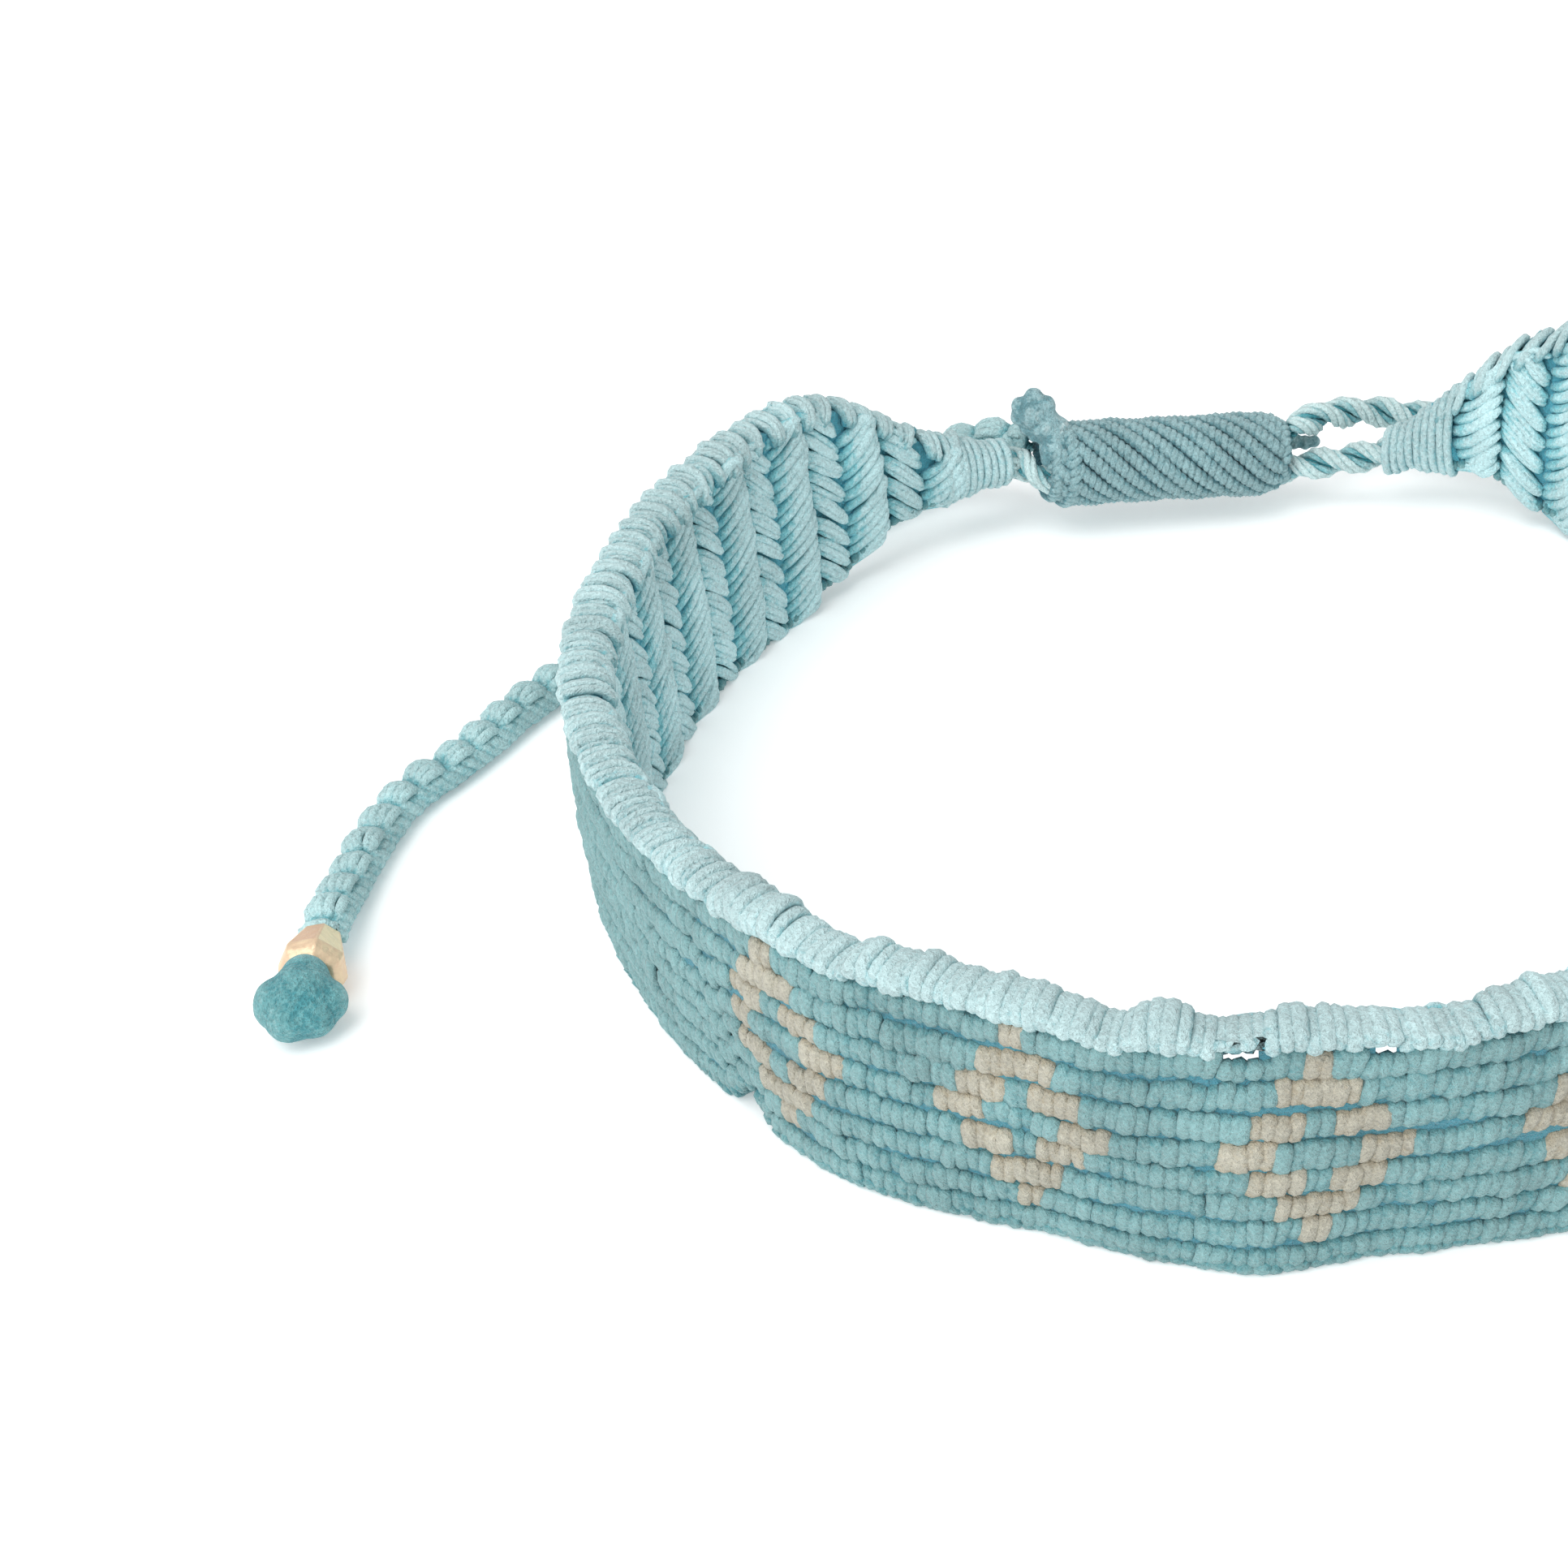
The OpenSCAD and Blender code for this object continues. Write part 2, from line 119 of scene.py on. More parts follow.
@dataclass
class RingForm:
    """The band's run, with the sizes and tables of the part's source, in millimetres and degrees."""

    wrist_d: float = 55.2
    closure_turn: float = 169.0
    closure_gap: float = 43.0
    band_h: float = 11.6
    band_t: float = 2.0
    row_h: float = 1.29
    ridge_pitch: float = 4.8
    ridge_at: float = -14.0
    notch_h: float = 1.8
    notch_at: float = -58.5
    notch_half: float = 2.8
    left_taper: float = 11.4
    right_taper: float = 8.0
    left_whip: float = 3.5
    right_whip: float = 3.3
    left_tip_z: float = 4.2
    right_tip_z: float = 3.4
    left_tip_in: float = 0.9
    right_tip_in: float = 1.6
    cord_d: float = 1.7
    left_edges: tuple = ((0, 0, 1), (0.2, 0.07, 0.99), (0.35, 0.09, 0.955), (0.5, 0.155, 0.885),
                         (0.65, 0.22, 0.775), (0.8, 0.245, 0.65), (1, 0.26, 0.53))
    right_edges: tuple = ((0, 0, 1), (0.2, 0.065, 0.99), (0.4, 0.1, 0.92), (0.6, 0.19, 0.835),
                          (0.8, 0.25, 0.715), (1, 0.225, 0.56))
    plan_bends: tuple = ((-180, 0, 0), (-110, 0, 0), (-93, 0.4, 0.2), (-77, 0.05, 0.2), (-60, -0.05, 0.25),
                         (-48, 0.15, 0.3), (-38, -0.15, 0.1), (-32, -0.35, 0.2), (-25, -0.15, 0.4),
                         (-16, 0.1, 0.3), (-8, -0.3, 0.3), (0, -0.25, 0.35), (8, 0, 0.15), (30, 0, 0),
                         (180, 0, 0))
    whip_shape: tuple = ((0, 1), (0.35, 0.45), (0.62, 0), (1, 0))
    rim_bumps: tuple = ((-180, 0), (-66, 0), (-61, 0.3), (-58.5, 0.15), (-57.2, 0.35), (-55.9, 0.8), (-54, 0.45),
                        (-51.9, 0.8), (-50.4, 0.2), (-48, 0.1), (-45.6, -0.3), (-44.8, 0), (-43.4, 0.55),
                        (-42, 0.2), (-40.9, 0.15), (-39.5, 0.5), (-38.2, 0.18), (-35, 0.18), (-33.4, 0.38),
                        (-32.3, 0.3), (-30.4, 0.5), (-28.9, 0.1), (-27.6, 0.1), (-25.6, -0.45), (-24.5, -0.15),
                        (-22.4, 0.7), (-21, 0.5), (-19.6, -0.2), (-18, -0.35), (-16.1, -0.1), (-15, 0.1),
                        (-13.5, 0.55), (-12.2, 0.12), (-11, 0.34), (-9.4, 0), (-8.4, 0.08), (-6.4, -0.3),
                        (-5.1, -0.3), (-3.1, -0.5), (-1.8, -0.3), (-0.3, 0.25), (1.2, 0.1), (2.8, 0.5),
                        (4.2, 0.05), (6, -0.1), (12, 0.1), (16, -0.05), (22, 0.1), (30, 0), (180, 0))
    mid_r: float = field(init=False)
    rows: int = field(init=False)
    left_tip: float = field(init=False)
    right_tip: float = field(init=False)
    left_mouth: float = field(init=False)
    right_mouth: float = field(init=False)
    left_full: float = field(init=False)
    right_full: float = field(init=False)
    ridge_step: float = field(init=False)

    def __post_init__(self) -> None:
        """Works out the angles at which the tapers and whippings start and end."""
        self.mid_r = self.wrist_d / 2 + self.band_t / 2
        self.rows = round(self.band_h / self.row_h)
        self.left_tip = self.closure_turn + self.closure_gap / 2 - 360
        self.right_tip = self.closure_turn - self.closure_gap / 2
        self.left_mouth = self.left_tip + self.turn(self.left_whip)
        self.right_mouth = self.right_tip - self.turn(self.right_whip)
        self.left_full = self.left_mouth + self.turn(self.left_taper)
        self.right_full = self.right_mouth - self.turn(self.right_taper)
        self.ridge_step = math.degrees(self.ridge_pitch / (self.wrist_d / 2))

    def turn(self, length: float) -> float:
        """Angle that a length takes up on the middle line."""
        return math.degrees(length / self.mid_r)

    def ends(self, side: Side) -> tuple[float, float]:
        """The angles of the mouth and the tip of a side's whipping."""
        return (self.left_mouth, self.left_tip) if side is Side.LEFT else (self.right_mouth, self.right_tip)

    def left_share(self, a: np.ndarray) -> np.ndarray:
        """Share of the left taper passed at an angle."""
        return np.clip((self.left_full - a) / (self.left_full - self.left_mouth), 0, 1)

    def right_share(self, a: np.ndarray) -> np.ndarray:
        """Share of the right taper passed at an angle."""
        return np.clip((a - self.right_full) / (self.right_mouth - self.right_full), 0, 1)

    def taper(self, a: np.ndarray) -> np.ndarray:
        """Share of either taper passed at an angle."""
        return np.maximum(self.left_share(a), self.right_share(a))

    def path_r(self, a: np.ndarray) -> np.ndarray:
        """Radius of the middle line, drawn in toward each tip.

        Args:
            a: angles round the ring, in degrees.

        Returns:
            The radii, in millimetres.
        """
        left = np.clip((self.left_full - a) / (self.left_full - self.left_tip), 0, 1)
        right = np.clip((a - self.right_full) / (self.right_tip - self.right_full), 0, 1)
        return self.mid_r - self.left_tip_in * left ** 2 - self.right_tip_in * right ** 2

    def edge(self, a: np.ndarray, column: int) -> np.ndarray:
        """Height of the lower edge (column 1) or the upper edge (column 2).

        Args:
            a: angles round the ring, in degrees.
            column: 1 for the lower edge, 2 for the upper edge.

        Returns:
            The heights, in millimetres.
        """
        left, right = np.array(self.left_edges), np.array(self.right_edges)
        return self.band_h * np.where(a < 0, np.interp(self.left_share(a), left[:, 0], left[:, column]),
                                      np.interp(self.right_share(a), right[:, 0], right[:, column]))

    def lower(self, a: np.ndarray) -> np.ndarray:
        """Height of the lower edge with its notch."""
        notch = self.notch_h * np.maximum(0, 1 - np.abs(a - self.notch_at) / self.notch_half)
        return self.edge(a, 1) + notch

    def upper(self, a: np.ndarray) -> np.ndarray:
        """Height of the upper edge."""
        return self.edge(a, 2)

    def proud(self, a: np.ndarray) -> np.ndarray:
        """How far the rolled rim stands over the upper edge in its larger bumps."""
        return np.interp(a, *np.array(self.rim_bumps).T)

    def hold(self, a: np.ndarray) -> tuple[np.ndarray, np.ndarray, np.ndarray]:
        """What a whipping holds at an angle: middle height, half height and half thickness.

        Args:
            a: angles round the ring, in degrees.

        Returns:
            The three measures, in millimetres.
        """
        s = np.where(a < 0, (self.left_mouth - a) / (self.left_mouth - self.left_tip),
                     (a - self.right_mouth) / (self.right_tip - self.right_mouth))
        s = np.clip(s, 0, 1)
        shape = np.array(self.whip_shape)
        k = np.interp(s, shape[:, 0], shape[:, 1])
        z0, z1 = self.edge(a, 1), self.edge(a, 2)
        tip = np.where(a < 0, self.left_tip_z, self.right_tip_z)
        return (mix((z0 + z1) / 2, tip, s), mix(self.cord_d / 2, (z1 - z0) / 2, k),
                mix(self.cord_d / 2, 0.45 * self.band_t, k))

    def face_r(self, face: Face, a: np.ndarray, z: np.ndarray) -> np.ndarray:
        """Radius of a face of the band at an angle and height.

        Args:
            face: the outer or the inner face.
            a: angles round the ring, in degrees.
            z: heights, in millimetres.

        Returns:
            The radii, in millimetres.
        """
        v = np.clip((z - self.lower(a)) / np.maximum(self.upper(a) - self.lower(a), 0.1), 0, 1)
        s = self.taper(a)
        half = mix(self.band_t / 2, 0.9, s) * np.sqrt(1 - mix(0.4, 0.9, s) * (2 * v - 1) ** 2)
        bends = np.array(self.plan_bends)
        low, high = np.interp(a, bends[:, 0], bends[:, 1]), np.interp(a, bends[:, 0], bends[:, 2])
        return self.path_r(a) + face.value * half + self.band_t * mix(low, high, v) * (1 - 0.6 * s)

    @staticmethod
    def at(a: np.ndarray, r: np.ndarray, z: np.ndarray) -> np.ndarray:
        """Points at angles, radii and heights about the ring's middle, in millimetres."""
        t = np.radians(a)
        return RING_MID + np.stack([r * np.sin(t), -r * np.cos(t), np.broadcast_to(z, np.shape(r))], axis=-1)

    @staticmethod
    def outward(a: np.ndarray) -> np.ndarray:
        """Directions away from the ring's middle."""
        t = np.radians(a)
        return np.stack([np.sin(t), -np.cos(t), np.zeros_like(t)], axis=-1)


RING = RingForm()
EYELET_FALL = 0.91
EYELET_HALF = 0.36


@dataclass(frozen=True)
class Eyelet:
    """A small gap under the rolled rim, cut along one line of sight."""

    angle: float
    height: float
    wide: float
    sight: float

    def beside(self, a: np.ndarray, spare: float) -> np.ndarray:
        """Whether angles lie within its width and a spare length at each end."""
        return np.abs(np.radians(a - self.angle)) * RING.mid_r < self.wide / 2 + spare

    def middle(self) -> np.ndarray:
        """The middle of its channel, halfway through the band.

        Returns:
            The point, in millimetres.
        """
        t = math.radians(self.sight)
        ahead = np.array([-math.sin(t), math.cos(t), -EYELET_FALL])
        angle = np.array(self.angle)
        mouth = RING.at(angle, RING.face_r(Face.OUTER, angle, self.height), self.height)
        return mouth + ahead * RING.band_t / 2


EYELETS = (Eyelet(-17.0, 11.2, 1.2, -16.4), Eyelet(-7.8, 11.22, 0.7, -20.4))


# Thread, laid in many short lengths.


def spline_weights(count: int, at: np.ndarray) -> np.ndarray:
    """Weights that give a smooth run through control points.

    Args:
        count: number of control points.
        at: shares of the run, from 0 to 1.

    Returns:
        One row of weights for each share.
    """
    x = np.clip(at, 0, 1) * (count - 1)
    i = np.minimum(x.astype(int), count - 2)
    u = x - i
    basis = (-0.5 * u ** 3 + u ** 2 - 0.5 * u, 1.5 * u ** 3 - 2.5 * u ** 2 + 1,
             -1.5 * u ** 3 + 2 * u ** 2 + 0.5 * u, 0.5 * u ** 3 - 0.5 * u ** 2)
    weights = np.zeros((len(at), count))
    for j, b in zip((-1, 0, 1, 2), basis):
        np.add.at(weights, (np.arange(len(at)), np.clip(i + j, 0, count - 1)), b)
    return weights


def put(name: str, shape: bpy.types.Mesh | bmesh.types.BMesh) -> bpy.types.Object:
    """Puts a mesh, or a finished bmesh that is then freed, in the scene as an object at the origin.

    Args:
        name: the object's name.
        shape: its mesh, or the bmesh that becomes its mesh.

    Returns:
        The object.
    """
    mesh = shape
    if isinstance(shape, bmesh.types.BMesh):
        mesh = bpy.data.meshes.new(name)
        shape.to_mesh(mesh)
        shape.free()
    piece = bpy.data.objects.new(name, mesh)
    bpy.context.scene.collection.objects.link(piece)
    return piece


def fix_modifiers(piece: bpy.types.Object) -> bpy.types.Mesh:
    """Makes a piece's modifiers part of its mesh, and returns the mesh without materials.

    Args:
        piece: the object.

    Returns:
        Its new mesh.
    """
    graph = bpy.context.evaluated_depsgraph_get()
    made = bpy.data.meshes.new_from_object(piece.evaluated_get(graph))
    piece.modifiers.clear()
    old, piece.data = piece.data, made
    bpy.data.meshes.remove(old)
    made.name = piece.name
    made.materials.clear()
    return made


def record(mesh: bpy.types.Mesh, key: str, values: np.ndarray) -> None:
    """Keeps a number for each point of a mesh, which its finish reads."""
    mesh.attributes.new(key, "FLOAT", "POINT").data.foreach_set("value", values.astype(np.float32))


@dataclass
class Strands:
    """Lengths of thread ready to be joined into one piece."""

    co: np.ndarray
    faces: list[np.ndarray]
    uv: list[np.ndarray]
    rise: np.ndarray
    tint: np.ndarray


class ThreadStock:
    """One closed length of thread, modelled once and then laid along many paths."""

    def __init__(self, sides: int, spans: int) -> None:
        """Models the length as a capsule along its own axis.

        Args:
            sides: faces round the thread.
            spans: faces along it.
        """
        self.spans = spans
        bm = bmesh.new()
        bmesh.ops.create_uvsphere(bm, u_segments=sides, v_segments=spans, radius=1.0)
        bm.verts.ensure_lookup_table()
        ball = np.array([v.co[:] for v in bm.verts])
        self.ring = np.rint((1 - np.arccos(np.clip(ball[:, 2], -1, 1)) / math.pi) * spans).astype(int)
        flat = unit(np.where(np.abs(ball[:, :2]).sum(1, keepdims=True) < 1e-6, [[1e-9, 0]], ball[:, :2]))
        pole = (self.ring == 0) | (self.ring == spans)
        self.side_share = np.where(pole, 0, flat[:, 0])
        self.top_share = np.where(pole, 0, flat[:, 1])
        self.faces, self.face_uv = [], []
        for size in (3, 4):
            picked = sorted(self._from_lowest([v.index for v in f.verts]) for f in bm.faces if len(f.verts) == size)
            if picked:
                self.faces.append(np.array(picked))
                self.face_uv.append(np.array([self._loop_uv(corners, ball) for corners in picked]))
        bm.free()

    @staticmethod
    def _from_lowest(corners: list[int]) -> list[int]:
        """A face's corners from the lowest number on, because the operator's order changes from run to run."""
        at = corners.index(min(corners))
        return corners[at:] + corners[:at]

    def _loop_uv(self, corners: list[int], ball: np.ndarray) -> list[tuple[float, float]]:
        """Share along the thread and turn round it at each corner of a face.

        Args:
            corners: the face's vertices.
            ball: where every vertex is.

        Returns:
            A pair of coordinates for each corner.
        """
        centre = ball[corners].mean(axis=0)
        mean = math.atan2(centre[1], centre[0])
        uv = []
        for i in corners:
            x, y, _ = ball[i]
            if abs(x) + abs(y) < 1e-6:
                turn = mean
            else:
                turn = math.atan2(y, x)
                turn += 2 * math.pi * round((mean - turn) / (2 * math.pi))
            uv.append((self.ring[i] / self.spans, turn / (2 * math.pi)))
        return uv

    def lay(self, points: np.ndarray, normals: np.ndarray, wide: Number, high: Number, lift: np.ndarray,
            tint: np.ndarray, cap: float = 0.35, reach: tuple[float, float] = (-0.3, 0.35),
            swell: tuple[float, float] = (0.0, 1.0), rough: float = 0.05) -> Strands:
        """Lays lengths of thread along paths.

        Args:
            points: paths, lengths by control points by 3, in millimetres.
            normals: the way that faces away from the ground, for each control point.
            wide: half width of the thread, one number or one for each length.
            high: half height of it.
            lift: height of each control point over the ground; it sets only the colour, lower for more painted shade.
            tint: lightness of each length, from 0 to 1.
            cap: share of the run over which each end is rounded.
            reach: heights that count as deep in a groove, in full painted shade, and as a crest, in full painted
                highlight.
            swell: how much the thread swells and shrinks along its run, and how often, in millimetres.
            rough: unevenness of its skin, as a share of its radius.

        Returns:
            The strands, in metres.
        """
        n, p = points.shape[:2]
        t = np.linspace(0, 1, self.spans + 1)
        w = spline_weights(p, t)
        run = np.einsum("kp,npc->nkc", w, points)
        away = unit(np.einsum("kp,npc->nkc", w, normals))
        along = unit(np.gradient(run, axis=1))
        side = unit(np.cross(away, along))
        away = np.cross(along, side)
        over = np.einsum("kp,np->nk", w, np.broadcast_to(lift, (n, p)))
        end = np.minimum(t, 1 - t) / cap
        profile = np.sqrt(np.clip(1 - (1 - np.minimum(end, 1)) ** 2, 0, 1))
        length = np.linalg.norm(np.diff(run, axis=1), axis=2).sum(1)
        beat = 1 + swell[0] * np.sin(2 * math.pi * (length[:, None] * t / swell[1] + 7 * tint[:, None]))
        wide = np.reshape(wide, (-1, 1)) * profile * beat
        high = np.reshape(high, (-1, 1)) * profile * beat
        k = self.ring
        skin = 1 + rough * np.random.default_rng(n + len(k)).normal(size=(n, len(k)))
        co = (run[:, k] + side[:, k] * (wide[:, k] * self.side_share * skin)[..., None]
              + away[:, k] * (high[:, k] * self.top_share * skin)[..., None])
        # The rise is the skin's height between the two reaches, which the finish paints as shade low down and as
        # light on top.
        rise = over[:, k] + high[:, k] * self.top_share
        rise = np.clip((rise - reach[0]) / (reach[1] - reach[0]), 0, 1)
        count = len(k)
        faces = [(f[None] + (np.arange(n) * count)[:, None, None]).reshape(-1, f.shape[1]) for f in self.faces]
        uv = []
        for corner in self.face_uv:
            laid = np.repeat(corner[None], n, axis=0)
            laid[..., 0] = laid[..., 0] * length[:, None, None] + 9 * tint[:, None, None]
            uv.append(laid.reshape(-1, corner.shape[1], 2))
        return Strands(co.reshape(-1, 3) * MM, faces, uv, rise.ravel(), np.repeat(tint, count))


def join(name: str, batches: list[Strands], material: bpy.types.Material) -> bpy.types.Object:
    """Joins laid strands into one piece.

    Args:
        name: the piece's name.
        batches: the strands.
        material: its finish.

    Returns:
        The piece, with its rise, tint and thread coordinates as attributes.
    """
    co = np.concatenate([b.co for b in batches])
    loops, starts, uv, base, start = [], [], [], 0, 0
    for b in batches:
        for f, c in zip(b.faces, b.uv):
            loops.append((f + base).ravel())
            uv.append(c.reshape(-1, 2))
            starts.append(start + np.arange(len(f)) * f.shape[1])
            start += f.size
        base += len(b.co)
    loops, starts = np.concatenate(loops), np.concatenate(starts)
    mesh = bpy.data.meshes.new(name)
    mesh.vertices.add(len(co))
    mesh.vertices.foreach_set("co", co.astype(np.float32).ravel())
    mesh.loops.add(len(loops))
    mesh.loops.foreach_set("vertex_index", loops.astype(np.int32))
    mesh.polygons.add(len(starts))
    mesh.polygons.foreach_set("loop_start", starts.astype(np.int32))
    mesh.update(calc_edges=True)
    mesh.validate()
    mesh.polygons.foreach_set("use_smooth", np.ones(len(mesh.polygons), bool))
    for key in ("rise", "tint"):
        record(mesh, key, np.concatenate([getattr(b, key) for b in batches]))
    layer = mesh.uv_layers.new(name="thread")
    layer.data.foreach_set("uv", np.concatenate(uv).astype(np.float32).ravel())
    mesh.materials.append(material)
    return put(name, mesh)


def settle(piece: bpy.types.Object, slot: str, *nodes: str) -> bpy.types.Object:
    """Makes a finished piece ride on the body, and hides the part's nodes that it stands for.

    Args:
        piece: the finished piece.
        slot: the part's material slot; not used.
        nodes: the part's nodes that it stands for.

    Returns:
        The same piece.
    """
    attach(piece, BODY)
    if nodes:
        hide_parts(*nodes)
    return piece


# Finishes.


class NodeMaker:
    """Places and links the nodes of one tree."""

    def __init__(self, tree: bpy.types.NodeTree) -> None:
        """Starts on an empty tree."""
        self.tree = tree
        tree.nodes.clear()

    def add(self, kind: str, **values: object) -> bpy.types.Node:
        """Places a node and sets its properties, or its sockets where a name is in_ and the socket's.

        Args:
            kind: the node's type.
            values: properties, and sockets under in_ and their name or number.

        Returns:
            The node.
        """
        node = self.tree.nodes.new(kind)
        for key, value in values.items():
            if key.startswith("in_"):
                name = key[3:]
                node.inputs[int(name) if name.isdigit() else name.replace("_", " ")].default_value = value
            else:
                setattr(node, key, value)
        return node

    def link(self, out: bpy.types.NodeSocket, into: bpy.types.NodeSocket) -> None:
        """Links an output socket to an input socket."""
        self.tree.links.new(out, into)

    def math(self, operation: str, *values: "float | bpy.types.NodeSocket") -> bpy.types.NodeSocket:
        """A Math node on sockets or numbers, and its output.

        Args:
            operation: what it works out.
            values: its inputs, in order.

        Returns:
            The socket with the result.
        """
        node = self.add("ShaderNodeMath", operation=operation)
        for i, value in enumerate(values):
            if isinstance(value, (int, float)):
                node.inputs[i].default_value = value
            else:
                self.link(value, node.inputs[i])
        return node.outputs[0]

    def ramp(self, level: bpy.types.NodeSocket, curve: str, *stops: tuple) -> bpy.types.NodeSocket:
        """A colour ramp through three stops, each a place and a colour, and its output.

        Args:
            level: what the ramp reads.
            curve: how it runs between the stops.
            stops: the three stops, lowest first.

        Returns:
            The socket with the colour.
        """
        node = self.add("ShaderNodeValToRGB")
        node.color_ramp.interpolation = curve
        first, last = node.color_ramp.elements
        first.position, first.color = stops[0]
        last.position, last.color = stops[2]
        node.color_ramp.elements.new(stops[1][0]).color = stops[1][1]
        self.link(level, node.inputs[0])
        return node.outputs[0]

    def blend(self, mode: str, share: object, a: object, b: object) -> bpy.types.NodeSocket:
        """A colour Mix node on sockets or values, and its output.

        Args:
            mode: how the colours are mixed.
            share: how much of the second colour counts.
            a: the first colour.
            b: the second colour.

        Returns:
            The socket with the colour.
        """
        node = self.add("ShaderNodeMix", data_type="RGBA", blend_type=mode)
        for socket, value in ((node.inputs[0], share), (node.inputs[6], a), (node.inputs[7], b)):
            if isinstance(value, bpy.types.NodeSocket):
                self.link(value, socket)
            else:
                socket.default_value = value
        return node.outputs[2]


def blank(name: str) -> tuple[bpy.types.Material, NodeMaker, bpy.types.Node]:
    """A new material, the maker of its nodes, and the Principled shader on its output.

    Args:
        name: the material's name.

    Returns:
        The material, the maker and the shader.
    """
    material = bpy.data.materials.new(name)
    material.use_nodes = True
    make = NodeMaker(material.node_tree)
    out, shade = make.add("ShaderNodeOutputMaterial"), make.add("ShaderNodeBsdfPrincipled")
    make.link(shade.outputs[0], out.inputs[0])
    return material, make, shade


def ply_group() -> bpy.types.NodeTree:
    """The lay of the plies in a thread and the fibres along them, from the thread's own coordinates.

    Returns:
        The group.
    """
    tree = bpy.data.node_groups.new("ply_lay", "ShaderNodeTree")
    face = tree.interface
    face.new_socket("Pitch", in_out="INPUT", socket_type="NodeSocketFloat").default_value = 0.6
    face.new_socket("Plies", in_out="INPUT", socket_type="NodeSocketFloat").default_value = 3.0
    face.new_socket("Height", in_out="OUTPUT", socket_type="NodeSocketFloat")
    face.new_socket("Streak", in_out="OUTPUT", socket_type="NodeSocketFloat")
    make = NodeMaker(tree)
    into, out = make.add("NodeGroupInput"), make.add("NodeGroupOutput")
    uv = make.add("ShaderNodeUVMap", uv_map="thread")
    parts = make.add("ShaderNodeSeparateXYZ")
    make.link(uv.outputs[0], parts.inputs[0])
    along = make.math("DIVIDE", parts.outputs[0], into.outputs["Pitch"])
    lay = make.math("ADD", along, make.math("MULTIPLY", parts.outputs[1], into.outputs["Plies"]))
    wave = make.math("SINE", make.math("MULTIPLY", lay, 2 * math.pi))
    height = make.math("POWER", make.math("MULTIPLY_ADD", wave, 0.5, 0.5), 0.6)
    make.link(height, out.inputs["Height"])
    across = make.add("ShaderNodeCombineXYZ")
    make.link(make.math("MULTIPLY", lay, 5.0), across.inputs[0])
    make.link(make.math("MULTIPLY", parts.outputs[0], 1.6), across.inputs[1])
    fibres = make.add("ShaderNodeTexNoise", in_Scale=1.0, in_Detail=3.0, in_Roughness=0.6)
    make.link(across.outputs[0], fibres.inputs["Vector"])
    make.link(fibres.outputs["Fac"], out.inputs["Streak"])
    return tree


def fuzz_group() -> bpy.types.NodeTree:
    """Loose fibres of spun cotton: a fine mottle for colour and height, and a broad unevenness of dye.

    Returns:
        The group.
    """
    tree = bpy.data.node_groups.new("cotton_fuzz", "ShaderNodeTree")
    face = tree.interface
    face.new_socket("Grain", in_out="INPUT", socket_type="NodeSocketFloat").default_value = 6000.0
    for name in ("Fibre", "Fleck", "Dye"):
        face.new_socket(name, in_out="OUTPUT", socket_type="NodeSocketFloat")
    make = NodeMaker(tree)
    into, out = make.add("NodeGroupInput"), make.add("NodeGroupOutput")
    place = make.add("ShaderNodeTexCoord")
    fibre = make.add("ShaderNodeTexNoise", in_Detail=2.5, in_Roughness=0.7)
    fleck = make.add("ShaderNodeTexNoise", in_Scale=3200.0, in_Detail=4.0, in_Roughness=0.7)
    dye = make.add("ShaderNodeTexNoise", in_Scale=240.0, in_Detail=3.0, in_Roughness=0.5)
    make.link(into.outputs["Grain"], fibre.inputs["Scale"])
    for node, name in ((fibre, "Fibre"), (fleck, "Fleck"), (dye, "Dye")):
        make.link(place.outputs["Object"], node.inputs["Vector"])
        spread = make.add("ShaderNodeMapRange", in_From_Min=0.25, in_From_Max=0.75)
        make.link(node.outputs["Fac"], spread.inputs["Value"])
        make.link(spread.outputs[0], out.inputs[name])
    return tree


